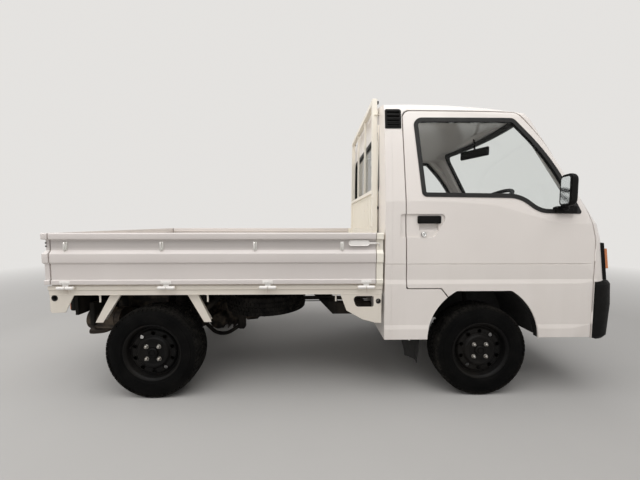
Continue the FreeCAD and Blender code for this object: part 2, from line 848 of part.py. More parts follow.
def build_brackets():
    # plates and braces under the sill, one set for each side
    outer = sill_y - 5.0
    thick = 3.0
    rear_plate = prism([
        (tail_x + 17.5, sill_bottom_z),
        (-1495.0, sill_bottom_z),
        (-1548.0, 508.0),
        (tail_x + 17.5, 505.0, 15.0),
    ], "xz", outer - thick, outer)
    front_plate = prism([
        (-15.0, sill_bottom_z),
        (bed_front_x - 4.0, sill_bottom_z),
        (bed_front_x - 4.0, 438.0),
        (185.0, 440.0),
        (112.0, 460.0),
        (21.0, 512.0),
    ], "xz", outer - thick, outer)
    plate_window = prism([
        (55.0, 594.0, 20.0),
        (175.0, 594.0, 10.0),
        (175.0, 532.0, 10.0),
        (75.0, 532.0, 22.0),
    ], "xz", outer - 10.0, outer + 10.0)
    rear_plate = rear_plate.cut(rope_hole(rear_hole, outer))
    front_plate = front_plate.cut(plate_window).cut(rope_hole(front_hole, outer))
    pieces = [rear_plate, front_plate]
    # top x, bottom x of each brace's centreline
    for top_x, bottom_x in ((-1278.0, -1379.0), (-852.0, -768.0)):
        half = 30.0
        face = prism([
            (top_x - half, sill_bottom_z),
            (top_x + half, sill_bottom_z),
            (bottom_x + half * 0.7, 443.0),
            (bottom_x - half * 0.7, 443.0),
        ], "xz", 656.0, 660.0)
        web = prism([
            (top_x - 4.0, sill_bottom_z),
            (top_x + 4.0, sill_bottom_z),
            (bottom_x + 4.0, 443.0),
            (bottom_x - 4.0, 443.0),
        ], "xz", sill_inner_y, 658.0)
        pieces.append(face.fuse(web))
    return pieces


# ---- running gear

def revolved(points, y_sign=1):
    # points are (distance along the axle from the middle of the truck, radius)
    wire = Part.makePolygon([V(0, y_sign * a, r) for a, r in points + points[:1]])
    return Part.Face(wire).revolve(V(0, 0, 0), V(0, 1, 0), 360.0)


def build_tyre():
    half = tyre_width / 2
    bead = half - 10.0
    section = [
        (track_half - bead, rim_radius),
        (track_half - bead, rim_radius + rim_lip),
        (track_half - half + 2.0, rim_radius + 32.0),
        (track_half - half, rim_radius + 55.0),
        (track_half - half + 5.0, tyre_radius - 22.0),
        (track_half - half + 14.0, tyre_radius - 7.0),
        (track_half - half + 28.0, tyre_radius),
    ]
    far = [(2 * track_half - a, r) for a, r in reversed(section)]
    return revolved(section + far)


def build_rim():
    half = tyre_width / 2 - 10.0 + rim_lip_width
    inner = track_half - half
    outer = track_half + half
    wall = rim_radius - rim_wall
    barrel = revolved([
        (inner, wall),
        (inner, rim_radius + rim_lip),
        (inner + rim_lip_width, rim_radius + rim_lip),
        (inner + rim_lip_width, rim_radius),
        (outer - rim_lip_width, rim_radius),
        (outer - rim_lip_width, rim_radius + rim_lip),
        (outer, rim_radius + rim_lip),
        (outer, wall),
    ])
    face = outer - rim_face_depth
    disc = revolved([
        (face - 30.0, spindle_radius + pin_clearance),
        (face + 4.0, spindle_radius + pin_clearance),
        (face + 4.0, 64.0),
        (face, nave_radius - 10.0),
        (face - 14.0, nave_radius + 5.0),
        (face - 14.0, rim_radius - 24.0),
        (face - 6.0, wall + 1.0),
        (face - 11.0, wall + 1.0),
        (face - 19.0, rim_radius - 24.0),
        (face - 19.0, nave_radius + 3.0),
        (face - 6.0, nave_radius - 14.0),
        (face - 6.0, hub_radius),
        (face - 30.0, hub_radius),
    ])
    cap = revolved([
        (face - 2.0, 0.0),
        (face + 6.0, 0.0),
        (face + 6.0, hub_radius - 6.0),
        (face - 2.0, hub_radius - 6.0),
    ])
    rim = barrel.fuse(disc)
    for i in range(vent_count):
        turn = 2 * math.pi * (i + 0.5) / vent_count
        centre = V(vent_circle * math.sin(turn), face - 60.0, vent_circle * math.cos(turn))
        rim = rim.cut(Part.makeCylinder(vent_radius, 100.0, centre, V(0, 1, 0)))
    pieces = [rim, cap]
    for i in range(nut_count):
        turn = 2 * math.pi * (i + 0.5) / nut_count
        centre = V(nut_circle * math.sin(turn), face - 4.0, nut_circle * math.cos(turn))
        pieces.append(Part.makeCylinder(nut_radius, nut_reach + 14.0, centre, V(0, 1, 0)))
    return fuse(pieces)


def build_wheels():
    tyre = build_tyre()
    rim = build_rim()
    # name, axle x
    for place_name, x in (("front", front_axle_x), ("rear", rear_axle_x)):
        for side in ("left", "right"):
            for kind, shape in (("tyre", tyre), ("wheel", rim)):
                copy = shape.copy()
                copy.translate(V(x, 0, axle_z))
                if side == "right":
                    copy = mirrored(copy)
                shapes[f"{place_name}_{side}_{kind}"] = copy


def build_knuckle():
    upright = rod(V(front_axle_x, kingpin_y, kingpin_low_z), V(front_axle_x, kingpin_y, kingpin_high_z),
                  kingpin_radius)
    spindle = rod(V(front_axle_x, kingpin_y, axle_z), V(front_axle_x, track_half + 50.0, axle_z),
                  spindle_radius)
    plate = rod(V(front_axle_x, hub_plate_y[0], axle_z), V(front_axle_x, hub_plate_y[1], axle_z),
                hub_plate_radius)
    return fuse([upright, spindle, plate])


def build_front_suspension():
    cross = block((front_axle_x - 40.0, front_axle_x + 40.0), (-rail_outer_y, rail_outer_y),
                  (rail_front_low_z - 75.0, rail_front_low_z))
    pieces = [cross]
    for side in (-1, 1):
        joint = V(front_axle_x, side * kingpin_y, kingpin_low_z - pin_clearance - ball_joint_height)
        pieces.append(Part.makeCylinder(ball_joint_radius, ball_joint_height, joint))
        inner_y = side * arm_inner_y
        pieces.append(block((front_axle_x - 20.0, front_axle_x + 20.0), (inner_y - 15.0, inner_y + 15.0),
                            (joint.z - 5.0, rail_front_low_z - 60.0)))
        arm_z = joint.z + ball_joint_height / 2 - 1.0
        pieces.append(rod(V(joint.x, inner_y, arm_z), V(joint.x, joint.y, arm_z), arm_radius))
        foot = V(front_axle_x, side * kingpin_y, kingpin_high_z + pin_clearance)
        pieces.append(Part.makeCylinder(11.0, 22.0, foot))
        elbow = foot + V(0, 0, 26.0)
        pieces.append(Part.makeSphere(strut_radius + 3.0, elbow))
        top = V(front_axle_x, side * strut_top_y, arch_top_z + wheelhouse_wall)
        pieces.append(rod(elbow, top - V(0, 0, 12.0), strut_radius))
        pieces.append(Part.makeCylinder(strut_seat_radius, strut_seat_height, top - V(0, 0, strut_seat_height)))
    return pieces


def build_rear_suspension():
    tube = rod(V(rear_axle_x, -axle_half_length, axle_z), V(rear_axle_x, axle_half_length, axle_z),
               axle_tube_radius)
    pieces = [tube, Part.makeSphere(differential_radius, V(rear_axle_x, 0, axle_z))]
    for side in (-1, 1):
        hub = V(rear_axle_x, side * axle_half_length, axle_z)
        plate = V(rear_axle_x, side * (hub_plate_y[0] + 7.0), axle_z)
        pieces.append(rod(hub, plate, axle_hub_radius))
        pieces.append(rod(hub, V(rear_axle_x, side * (track_half + 50.0), axle_z), spindle_radius))
        pieces.append(rod(plate, V(rear_axle_x, side * hub_plate_y[0], axle_z), hub_plate_radius))
        spring = V(rear_axle_x, side * spring_y, axle_z)
        pieces.append(rod(spring, V(spring.x, spring.y, rail_rear_low_z), spring_radius))
        arm = V(trailing_arm_x, side * spring_y, rail_rear_low_z - 50.0)
        pieces.append(rod(arm, V(rear_axle_x, side * 440.0, axle_z), trailing_arm_radius))
        pieces.append(block((arm.x - 25.0, arm.x + 25.0), (side * spring_y - 22.0, side * spring_y + 22.0),
                            (rail_rear_low_z - 70.0, rail_rear_low_z)))
    return fuse(pieces)


def build_spare():
    half = spare_half_width
    radius = tyre_radius - 4.0
    wire = Part.makePolygon([V(r, 0, z) for r, z in (
        (0, -8.0), (110.0, -8.0), (140.0, -half + 12.0), (165.0, -half), (radius - 20.0, -half),
        (radius, -half + 25.0), (radius, half - 25.0), (radius - 20.0, half), (165.0, half),
        (140.0, half - 12.0), (110.0, 8.0), (0, 8.0), (0, -8.0))])
    spare = Part.Face(wire).revolve(V(0, 0, 0), V(0, 0, 1), 360.0)
    spare.translate(V(spare_x, spare_y, rail_rear_low_z - half))
    return spare


# ---- front end and cabin

def front_pad(proud, y, z, outer):
    # a pad that follows the front panel, standing proud of it
    pad = cab_envelope(-proud).cut(outer)
    return largest(pad.common(block(front_reach, y, z)))


def bumper_wire(z, inset):
    half = bed_half_width - inset
    front = nose_x - inset
    edge_x = front - front_bow
    corner = bumper_corner * (1 - math.sqrt(0.5))
    start_x = hinge_x + hinge_radius + 1.5
    points = {}
    for side in (-1, 1):
        points[side] = [
            V(start_x, side * half, z),
            V(edge_x - bumper_corner, side * half, z),
            V(edge_x - corner, side * (half - corner), z),
            V(edge_x, side * (half - bumper_corner), z),
        ]
    right, left = points[-1], points[1]
    return Part.Wire([
        Part.makeLine(left[0], right[0]),
        Part.makeLine(right[0], right[1]),
        Part.Arc(right[1], right[2], right[3]).toShape(),
        Part.Arc(right[3], V(front, 0, z), left[3]).toShape(),
        Part.Arc(left[3], left[2], left[1]).toShape(),
        Part.makeLine(left[1], left[0]),
    ])


def build_front(outer):
    wires = [bumper_wire(z, inset) for z, inset in bumper_profile]
    bumper = Part.makeLoft(wires, True, True)
    hollow = cab_envelope(0.0, drop=100.0)
    shapes["front_bumper"] = largest(bumper.cut(hollow))

    bezel = front_pad(bezel_proud, bezel_y, bezel_z, outer)
    lens_hole = block(front_reach, lens_y, lens_z)
    turn_hole = block(front_reach, turn_lamp_y, turn_lamp_z)
    shapes["headlamp_bezels"] = both_sides(bezel.cut(lens_hole).cut(turn_hole))
    shapes["headlamps"] = both_sides(front_pad(lens_proud, lens_y, lens_z, outer))
    shapes["turn_lamps"] = both_sides(front_pad(turn_lamp_proud, turn_lamp_y, turn_lamp_z, outer))


def build_cabin(inner):
    lean = math.radians(wheel_tilt)
    normal = V(-math.sin(lean), 0, math.cos(lean))
    centre = V(steering_x, steering_y, steering_z)
    foot = centre - normal * ((steering_z - foot_pan_z) / math.cos(lean) + 30.0)
    head = centre - normal * 22.0
    column = rod(foot, head, column_radius)
    shapes["steering_column"] = column.cut(block((900, 1600), (-500, 0), (0, foot_pan_z)))
    ring = Part.makeTorus(steering_radius, steering_rim, centre, normal)
    hub = Part.makeCylinder(42.0, 30.0, centre - normal * 21.0, normal)
    side = V(0, 1, 0)
    back = normal.cross(side)
    spokes = []
    for direction in (side, side * -1, back):
        start = centre - normal * 8.0 + direction * 20.0
        end = centre + direction * steering_radius
        spokes.append(rod(start, end, 9.0))
    shapes["steering_wheel"] = fuse([ring, hub] + spokes)

    dash_outline = [
        (1225.0, 800.0, 20.0),
        (1200.0, 985.0, 30.0),
        (1275.0, 1078.0, 40.0),
        (1560.0, 1085.0),
        (1600.0, 800.0),
    ]
    dash = prism(dash_outline, "xz", -dash_half_width, dash_half_width).common(inner)
    # the door's front inner corner swings through these rounds
    corner = rod(V(hinge_x, hinge_y, 700.0), V(hinge_x, hinge_y, 1200.0), door_swing_radius)
    dash = dash.cut(both_sides(corner))
    shapes["dashboard"] = largest(dash.cut(rod(foot, head, column_radius + 1.0)))

    cushions = []
    backs = []
    for low, high in ((-seat_y[1], -seat_y[0]), seat_y):
        cushions.append(rounded_block(cushion_x, (low, high), (seat_deck_z, cushion_top_z), cushion_round))
        back_shape = prism([
            (475.0, seat_deck_z, 12.0),
            (460.0, 850.0, 60.0),
            (350.0, seat_back_top_z, 22.0),
            (290.0, seat_back_top_z, 18.0),
            (335.0, seat_deck_z, 12.0),
        ], "xz", low, high)
        backs.append(back_shape)
    shapes["seat_cushions"] = Part.makeCompound(cushions)
    shapes["seat_backs"] = Part.makeCompound(backs)

    thick, wide, tall = (size / 2 for size in interior_mirror_size)
    mirror = rounded_block((-thick, thick), (-wide, wide), (-tall, tall), 8.0)
    mirror.rotate(V(0, 0, 0), V(0, 0, 1), interior_mirror_turn)
    place_x, place_z = interior_mirror_place
    mirror.translate(V(place_x, 0.0, place_z))
    foot_x, head_x = interior_mirror_stem
    stem = rod(V(place_x + foot_x, 0, place_z + 15.0), V(place_x + head_x, 0, roof_crown_z - 5.0), 7.0)
    shapes["interior_mirror"] = mirror.fuse(stem.common(inner))


def build_mirrors():
    housing = rounded_block((0.0, mirror_depth), (-mirror_width / 2, mirror_width / 2), mirror_z, mirror_round)
    housing.rotate(V(0, 0, 0), V(0, 0, 1), mirror_turn)
    housing.translate(V(mirror_x, mirror_y, 0.0))
    foot = rounded_block(mirror_foot_x, mirror_foot_y, mirror_foot_z, 6.0)
    arm_start = V(mirror_x + mirror_depth / 2, mirror_y, mirror_z[0] + 14.0)
    arm_end = V(mirror_x + 60.0, mirror_foot_y[1] - 10.0, mirror_foot_z[1] - 16.0)
    mirror = fuse([housing, rod(arm_start, arm_end, mirror_arm_radius), foot])
    for name in ("door_left", "door_glass_left", "door_seal_left"):
        mirror = mirror.cut(shapes[name])
    shapes["door_mirror_left"] = largest(mirror)
    shapes["door_mirror_right"] = mirrored(shapes["door_mirror_left"])


def build_underside():
    shapes["engine"] = block(engine_x, (-rail_inner_y, rail_inner_y), engine_z)
    muffler = rod(V(muffler_x[0], muffler_y, muffler_z), V(muffler_x[1], muffler_y, muffler_z),
                  muffler_radius)
    pipe = rod(V(pipe_x, muffler_y, muffler_z), V(pipe_x, -rail_inner_y, muffler_z), pipe_radius)
    shapes["muffler"] = fuse([muffler, pipe])
    shapes["fuel_tank"] = rounded_block(tank_x, tank_y, tank_z, tank_round)
    flap = prism([
        (flap_x, flap_z[1]),
        (flap_x + flap_thickness, flap_z[1]),
        (flap_x + flap_thickness + flap_lean, flap_z[0]),
        (flap_x + flap_lean, flap_z[0]),
    ], "xz", flap_y[0], flap_y[1])
    shapes["mud_flaps"] = both_sides(flap)
    bar_x = rail_rear_x - tail_bar_depth
    tail_bar = block((bar_x, rail_rear_x), (-tail_bar_half_width, tail_bar_half_width), tail_bar_z)
    shapes["chassis_frame"] = fuse([shapes["chassis_frame"], tail_bar])
    lamp = block((tail_x + 17.5, bar_x), tail_lamp_y, tail_lamp_z)
    shapes["tail_lamps"] = both_sides(lamp)
    shapes["number_plate"] = block((bar_x - plate_thickness, bar_x),
                                   (-plate_half_width, plate_half_width), plate_z)


def main():
    outer, inner = build_cab()
    shapes["chassis_frame"] = build_rails()
    shapes["cab_floor"] = build_floor(inner).cut(shapes["chassis_frame"])
    shapes["cab_rear_panel"] = shapes["cab_rear_panel"].cut(shapes["chassis_frame"])
    bed_pieces = build_bed()
    post = build_gates(bed_pieces)
    seat = block((guard_x - 1.0, bed_front_x + 1.0), (-bed_half_width, bed_half_width),
                 (deck_top_z - guard_seat, deck_top_z + 1.0))
    shapes["bed_floor"] = fuse(bed_pieces).cut(seat)
    shapes["guard_frame"] = build_guard(post)
    brackets = []
    for piece in build_brackets():
        brackets += [piece, mirrored(piece)]
    shapes["bed_brackets"] = Part.makeCompound(brackets)
    build_wheels()
    shapes["knuckle_left"] = build_knuckle()
    shapes["knuckle_right"] = mirrored(shapes["knuckle_left"])
    shapes["front_suspension"] = fuse(build_front_suspension())
    shapes["rear_suspension"] = build_rear_suspension()
    shapes["spare_wheel"] = build_spare()
    build_front(outer)
    build_cabin(inner)
    build_mirrors()
    build_underside()
    os.makedirs("parts", exist_ok=True)
    for name, shape in shapes.items():
        shape.exportStep(f"parts/{name}.step")
        box = shape.BoundBox
        print(f"{name:20s} solids {len(shape.Solids)} valid {shape.isValid()} x {box.XMin:.0f}..{box.XMax:.0f} "
              f"y {box.YMin:.0f}..{box.YMax:.0f} z {box.ZMin:.0f}..{box.ZMax:.0f}")


main()
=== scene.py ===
import bpy
import bmesh
import math
import random
from mathutils import Matrix, Vector
from mathutils.bvhtree import BVHTree


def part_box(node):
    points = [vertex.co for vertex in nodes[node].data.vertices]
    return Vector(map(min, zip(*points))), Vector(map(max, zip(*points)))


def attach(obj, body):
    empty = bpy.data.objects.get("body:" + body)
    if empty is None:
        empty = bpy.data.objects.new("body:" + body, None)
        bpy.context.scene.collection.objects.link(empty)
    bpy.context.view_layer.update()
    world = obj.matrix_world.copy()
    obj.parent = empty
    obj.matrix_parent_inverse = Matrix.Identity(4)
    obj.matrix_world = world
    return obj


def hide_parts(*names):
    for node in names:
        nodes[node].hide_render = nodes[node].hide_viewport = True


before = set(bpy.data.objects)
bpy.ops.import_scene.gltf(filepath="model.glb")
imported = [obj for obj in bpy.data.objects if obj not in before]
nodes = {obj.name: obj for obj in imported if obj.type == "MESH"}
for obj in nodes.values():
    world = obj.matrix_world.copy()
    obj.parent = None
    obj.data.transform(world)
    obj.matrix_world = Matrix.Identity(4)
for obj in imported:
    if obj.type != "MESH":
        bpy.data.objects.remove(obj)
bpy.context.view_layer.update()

scene = bpy.context.scene
scene.view_settings.view_transform = "Standard"

# ---- camera, floor and lights

stageValues = {
    "cameraPlace": (-0.1551, -2.2447, 1.0084),
    "cameraPitch": -0.0614,
    "cameraYaw": -0.0168,
    "lens": 15.842,
    "floorColour": (0.42, 0.408, 0.392),
    "floorReach": 30.0,
    "floorFade": (3.2, 8.0),
    "worldColour": (0.93, 0.93, 0.94),
    "worldLevel": 0.42,
    "backdropColour": (0.78, 0.765, 0.745),
    "lamps": [
        # name, place, aimed at, width, length, watts
        ("overheadLamp", (-0.5, -1.9, 4.9), (0.0, 0.0, 0.7), 7.0, 4.0, 245.0),
        ("nearLamp", (-2.8, -4.2, 2.6), (0.0, 0.0, 0.8), 4.5, 2.0, 24.0),
        ("rearLamp", (-4.6, -0.6, 2.8), (0.0, 0.0, 1.0), 3.0, 2.0, 38.0),
        ("farLamp", (1.8, 4.2, 3.4), (0.0, 0.0, 0.7), 4.0, 2.2, 60.0),
    ],
}


def aim(thing, target):
    direction = Vector(target) - thing.location
    thing.rotation_euler = direction.to_track_quat("-Z", "Y").to_euler()


def makeStage():
    values = stageValues
    cameraData = bpy.data.cameras.new("camera")
    cameraData.lens = values["lens"]
    cameraData.sensor_width = 36.0
    cameraData.clip_start = 0.05
    camera = bpy.data.objects.new("camera", cameraData)
    camera.location = values["cameraPlace"]
    camera.rotation_euler = (math.pi / 2 + values["cameraPitch"], 0.0, values["cameraYaw"])
    scene.collection.objects.link(camera)
    scene.camera = camera
    for name, place, target, width, length, watts in values["lamps"]:
        lampData = bpy.data.lights.new(name, "AREA")
        lampData.shape = "RECTANGLE"
        lampData.size = width
        lampData.size_y = length
        lampData.energy = watts
        lamp = bpy.data.objects.new(name, lampData)
        lamp.location = place
        lamp.visible_camera = False
        lamp.visible_transmission = False
        aim(lamp, target)
        scene.collection.objects.link(lamp)
    world = bpy.data.worlds.new("paleStudio")
    world.use_nodes = True
    worldTree = world.node_tree
    background = worldTree.nodes["Background"]
    setSockets(background, Color=(*values["worldColour"], 1.0), Strength=values["worldLevel"])
    # what the camera, metal and glass see behind the object is a plain pale backdrop
    seen = addNode(worldTree, "ShaderNodeBackground", Color=(*values["backdropColour"], 1.0))
    path = worldTree.nodes.new("ShaderNodeLightPath")
    direct = combine(worldTree, "MAXIMUM", outOf(path, "Is Camera Ray"), outOf(path, "Is Glossy Ray"))
    anyRay = combine(worldTree, "MAXIMUM", direct, outOf(path, "Is Transmission Ray"))
    mixShaders(worldTree, anyRay, background.outputs[0], seen.outputs[0], "World Output")
    scene.world = world
    mesh = bpy.data.meshes.new("floor")
    reach = values["floorReach"]
    corners = [(x * reach, y * reach, 0) for x, y in ((-1, -1), (1, -1), (1, 1), (-1, 1))]
    mesh.from_pydata(corners, [], [(0, 1, 2, 3)])
    floor = bpy.data.objects.new("floor", mesh)
    scene.collection.objects.link(floor)
    finish, tree, shader = newFinish("paleFloor")
    setSockets(shader, Roughness=0.75)
    grain = addNode(tree, "ShaderNodeTexNoise", Scale=3.0, Detail=6.0)
    feed(tree, objectPlace(tree), grain, "Vector")
    colour = blendColours(tree, outOf(grain, "Fac"), scaled(values["floorColour"], 0.96),
        values["floorColour"])
    feed(tree, colour, shader, "Base Color")
    # far from the object the floor runs into the backdrop
    away = addNode(tree, "ShaderNodeVectorMath", {"operation": "LENGTH"})
    feed(tree, objectPlace(tree), away, "Vector")
    backdrop = addNode(tree, "ShaderNodeEmission", Color=(*values["backdropColour"], 1.0))
    far = spread(tree, away.outputs["Value"], *values["floorFade"])
    mixShaders(tree, far, shader.outputs["BSDF"], backdrop.outputs[0])
    mesh.materials.append(finish)
    print("stage ready")


# ---- shader helpers

def newFinish(name):
    finish = bpy.data.materials.new(name)
    finish.use_nodes = True
    tree = finish.node_tree
    return finish, tree, tree.nodes["Principled BSDF"]


def addNode(tree, kind, setting=None, **inputs):
    node = tree.nodes.new(kind)
    for key, value in (setting or {}).items():
        setattr(node, key, value)
    setSockets(node, **inputs)
    return node


def setSockets(node, **inputs):
    # an underscore in a name stands for a space
    for key, value in inputs.items():
        node.inputs[key.replace("_", " ")].default_value = value


def scaled(colour, factor, lift=0.0):
    return tuple(c * factor + lift for c in colour)


def outOf(node, name):
    return node.outputs[name]


def feed(tree, source, node, name):
    tree.links.new(source, node.inputs[name])


def objectPlace(tree, scale=(1.0, 1.0, 1.0)):
    coords = tree.nodes.new("ShaderNodeTexCoord")
    if scale == (1.0, 1.0, 1.0):
        return coords.outputs["Object"]
    mapping = addNode(tree, "ShaderNodeMapping", Scale=scale)
    feed(tree, coords.outputs["Object"], mapping, "Vector")
    return mapping.outputs["Vector"]


def noise(tree, scale, detail=3.0, stretch=(1.0, 1.0, 1.0), rough=0.5):
    node = addNode(tree, "ShaderNodeTexNoise", Scale=scale, Detail=detail, Roughness=rough)
    feed(tree, objectPlace(tree, stretch), node, "Vector")
    return node.outputs["Fac"]


def spread(tree, source, low, high, toLow=0.0, toHigh=1.0):
    # maps low..high of a value to toLow..toHigh
    node = addNode(tree, "ShaderNodeMapRange", {"clamp": True})
    for key, value in (("From Min", low), ("From Max", high), ("To Min", toLow), ("To Max", toHigh)):
        node.inputs[key].default_value = value
    feed(tree, source, node, "Value")
    return node.outputs["Result"]


def combine(tree, how, first, second=0.0, clamp=False):
    node = addNode(tree, "ShaderNodeMath", {"operation": how, "use_clamp": clamp})
    for socket, value in zip(node.inputs, (first, second)):
        if isinstance(value, (int, float)):
            socket.default_value = value
        else:
            tree.links.new(value, socket)
    return node.outputs["Value"]


def times(tree, *values):
    product = values[0]
    for value in values[1:]:
        product = combine(tree, "MULTIPLY", product, value)
    return product


def blendColours(tree, amount, first, second):
    node = addNode(tree, "ShaderNodeMix", {"data_type": "RGBA"})
    tree.links.new(amount, node.inputs[0])
    for socket, value in ((node.inputs[6], first), (node.inputs[7], second)):
        if isinstance(value, tuple):
            socket.default_value = (*value[:3], 1.0)
        else:
            tree.links.new(value, socket)
    return node.outputs[2]


def splitPlace(tree, source=None):
    # the x, y and z of a point in the frame, or of another vector
    split = tree.nodes.new("ShaderNodeSeparateXYZ")
    feed(tree, source or objectPlace(tree), split, "Vector")
    return split.outputs["X"], split.outputs["Y"], split.outputs["Z"]


def height(tree):
    return splitPlace(tree)[2]


def mixShaders(tree, amount, first, second, target="Material Output"):
    mixer = tree.nodes.new("ShaderNodeMixShader")
    feed(tree, amount, mixer, "Fac")
    tree.links.new(first, mixer.inputs[1])
    tree.links.new(second, mixer.inputs[2])
    tree.links.new(mixer.outputs["Shader"], tree.nodes[target].inputs["Surface"])


def softEdges(tree, radius):
    bevel = addNode(tree, "ShaderNodeBevel", {"samples": 4}, Radius=radius)
    return bevel.outputs["Normal"]


def edgeMask(tree, radius):
    # 1 on sharp edges, 0 on flat faces
    rounded = softEdges(tree, radius)
    geometry = tree.nodes.new("ShaderNodeNewGeometry")
    node = addNode(tree, "ShaderNodeVectorMath", {"operation": "DOT_PRODUCT"})
    tree.links.new(rounded, node.inputs[0])
    tree.links.new(geometry.outputs["Normal"], node.inputs[1])
    return spread(tree, node.outputs["Value"], 0.80, 0.99, 1.0, 0.0)


def bump(tree, shader, source, strength, distance, under=None):
    node = addNode(tree, "ShaderNodeBump", Strength=strength, Distance=distance)
    feed(tree, source, node, "Height")
    if under is not None:
        feed(tree, under, node, "Normal")
    feed(tree, node.outputs["Normal"], shader, "Normal")
    return node.outputs["Normal"]


# ---- finishes

paints = {
    # colour, roughness, coat, dust at the foot, rust on edges
    "cabWhite": {"colour": (0.79, 0.735, 0.69), "rough": 0.34, "coat": 0.55, "dust": 0.35, "rust": 0.0},
    "gateWhite": {"colour": (0.645, 0.595, 0.565), "rough": 0.42, "coat": 0.25, "dust": 0.25, "rust": 0.12,
    # painted shade in the recess under the top rail, as a band of height
    "paintedRecessShade": (0.856, 0.914)},
    "latchWhite": {"colour": (0.84, 0.81, 0.77), "rough": 0.36, "coat": 0.3, "dust": 0.1, "rust": 0.30},
    "frameCream": {"colour": (0.745, 0.685, 0.60), "rough": 0.45, "coat": 0.15, "dust": 0.45, "rust": 0.30,
    "runs": (-1.530, -0.980, -0.420, 0.130)},
    "guardCream": {"colour": (0.84, 0.79, 0.69), "rough": 0.45, "coat": 0.15, "dust": 0.15, "rust": 0.25},
    "deckCream": {"colour": (0.70, 0.655, 0.58), "rough": 0.55, "coat": 0.0, "dust": 0.7, "rust": 0.35},
    "chassisBlack": {"colour": (0.010, 0.0095, 0.009), "rough": 0.75, "coat": 0.0, "dust": 0.30,
    "rust": 0.12, "shine": 0.08},
    "wheelBlack": {"colour": (0.0036, 0.0034, 0.0033), "rough": 0.44, "coat": 0.0, "dust": 0.05,
    "rust": 0.05, "shine": 0.10},
    "cabFloorGrey": {"colour": (0.12, 0.12, 0.12), "rough": 0.7, "coat": 0.0, "dust": 0.3, "rust": 0.05},
}
dustColour = (0.40, 0.34, 0.27)
rustColour = (0.19, 0.075, 0.03)
stainColour = (0.25, 0.20, 0.15)


def rustRuns(tree, places):
    # thin rust washed down below each hinge
    x, z = splitPlace(tree)[::2]
    near = None
    for place in places:
        away = combine(tree, "ABSOLUTE", combine(tree, "SUBTRACT", x, place))
        mark = spread(tree, away, 0.004, 0.030, 1.0, 0.0)
        near = mark if near is None else combine(tree, "MAXIMUM", near, mark)
    streaks = spread(tree, noise(tree, 60.0, 4.0, (1.0, 1.0, 0.12)), 0.52, 0.70)
    below = spread(tree, z, 0.606, 0.650)
    return times(tree, near, streaks, below, 0.75)


def makePaint(name):
    values = paints[name]
    colour = values["colour"]
    finish, tree, shader = newFinish(name)
    lighter = tuple(min(c * 1.03, 0.95) for c in colour)
    tone = blendColours(tree, spread(tree, noise(tree, 1.3), 0.35, 0.65), scaled(colour, 0.965), lighter)
    # dust gathers low down, in streaks
    low = spread(tree, height(tree), 0.30, 0.95, 1.0, 0.0)
    streaks = spread(tree, noise(tree, 7.0, 4.0, (1.0, 1.0, 0.18)), 0.42, 0.72)
    dust = times(tree, low, streaks, values["dust"] * 0.5)
    tone = blendColours(tree, dust, tone, dustColour)
    specks = spread(tree, noise(tree, 260.0, 2.0), 0.72, 0.76)
    tone = blendColours(tree, times(tree, specks, 0.25 * values["dust"]), tone, scaled(colour, 0.35))
    if values["rust"]:
        patches = spread(tree, noise(tree, 19.0, 6.0, rough=0.7), 0.60, 0.68)
        worn = times(tree, edgeMask(tree, 0.004), patches, min(1.0, values["rust"] * 3.0))
        tone = blendColours(tree, worn, tone, rustColour)
    if "paintedRecessShade" in values:
        # painted shade held in a band of height, the recess under the gate's top rail
        foot, top = values["paintedRecessShade"]
        above = spread(tree, height(tree), foot, foot + 0.018)
        below = spread(tree, height(tree), top - 0.004, top, 1.0, 0.0)
        tone = blendColours(tree, times(tree, above, below, 0.34), tone, scaled(colour, 0.25))
    if "runs" in values:
        tone = blendColours(tree, rustRuns(tree, values["runs"]), tone, rustColour)
    feed(tree, tone, shader, "Base Color")
    fine = spread(tree, noise(tree, 34.0, 5.0), 0.3, 0.7, values["rough"] - 0.05, values["rough"] + 0.07)
    feed(tree, combine(tree, "ADD", fine, times(tree, dust, 0.5), True), shader, "Roughness")
    setSockets(shader, Specular_IOR_Level=values.get("shine", 0.5), Coat_Weight=values["coat"],
        Coat_Roughness=0.12)
    peel = times(tree, noise(tree, 420.0, 1.0), 0.06)
    dents = noise(tree, 3.2, 2.0)
    bump(tree, shader, combine(tree, "ADD", peel, dents), 0.10, 0.004, softEdges(tree, 0.003))
    return finish


def makePlastic(name, colour, rough, grain, grainDepth, fade=0.25):
    finish, tree, shader = newFinish(name)
    radius = 0.003
    patches = spread(tree, noise(tree, 5.0, 4.0), 0.4, 0.7)
    tone = blendColours(tree, times(tree, patches, fade), colour, scaled(colour, 1.9, 0.008))
    scuffs = times(tree, edgeMask(tree, radius), 0.35)
    feed(tree, blendColours(tree, scuffs, tone, scaled(colour, 2.2, 0.02)), shader, "Base Color")
    feed(tree, spread(tree, noise(tree, 40.0), 0.3, 0.7, rough - 0.06, rough + 0.08), shader, "Roughness")
    setSockets(shader, Specular_IOR_Level=0.10)
    pebbles = addNode(tree, "ShaderNodeTexVoronoi", Scale=grain)
    feed(tree, objectPlace(tree), pebbles, "Vector")
    bump(tree, shader, pebbles.outputs["Distance"], grainDepth, 0.0006, softEdges(tree, radius))
    return finish


def makeRubber(name, colour, rough=0.72):
    finish, tree, shader = newFinish(name)
    patches = spread(tree, noise(tree, 8.0, 5.0), 0.35, 0.75)
    feed(tree, blendColours(tree, patches, colour, scaled(colour, 1.7, 0.004)), shader, "Base Color")
    feed(tree, spread(tree, noise(tree, 60.0), 0.3, 0.7, rough - 0.08, rough + 0.08), shader, "Roughness")
    setSockets(shader, Specular_IOR_Level=0.3)
    bump(tree, shader, noise(tree, 300.0, 4.0), 0.2, 0.0008, softEdges(tree, 0.002))
    return finish


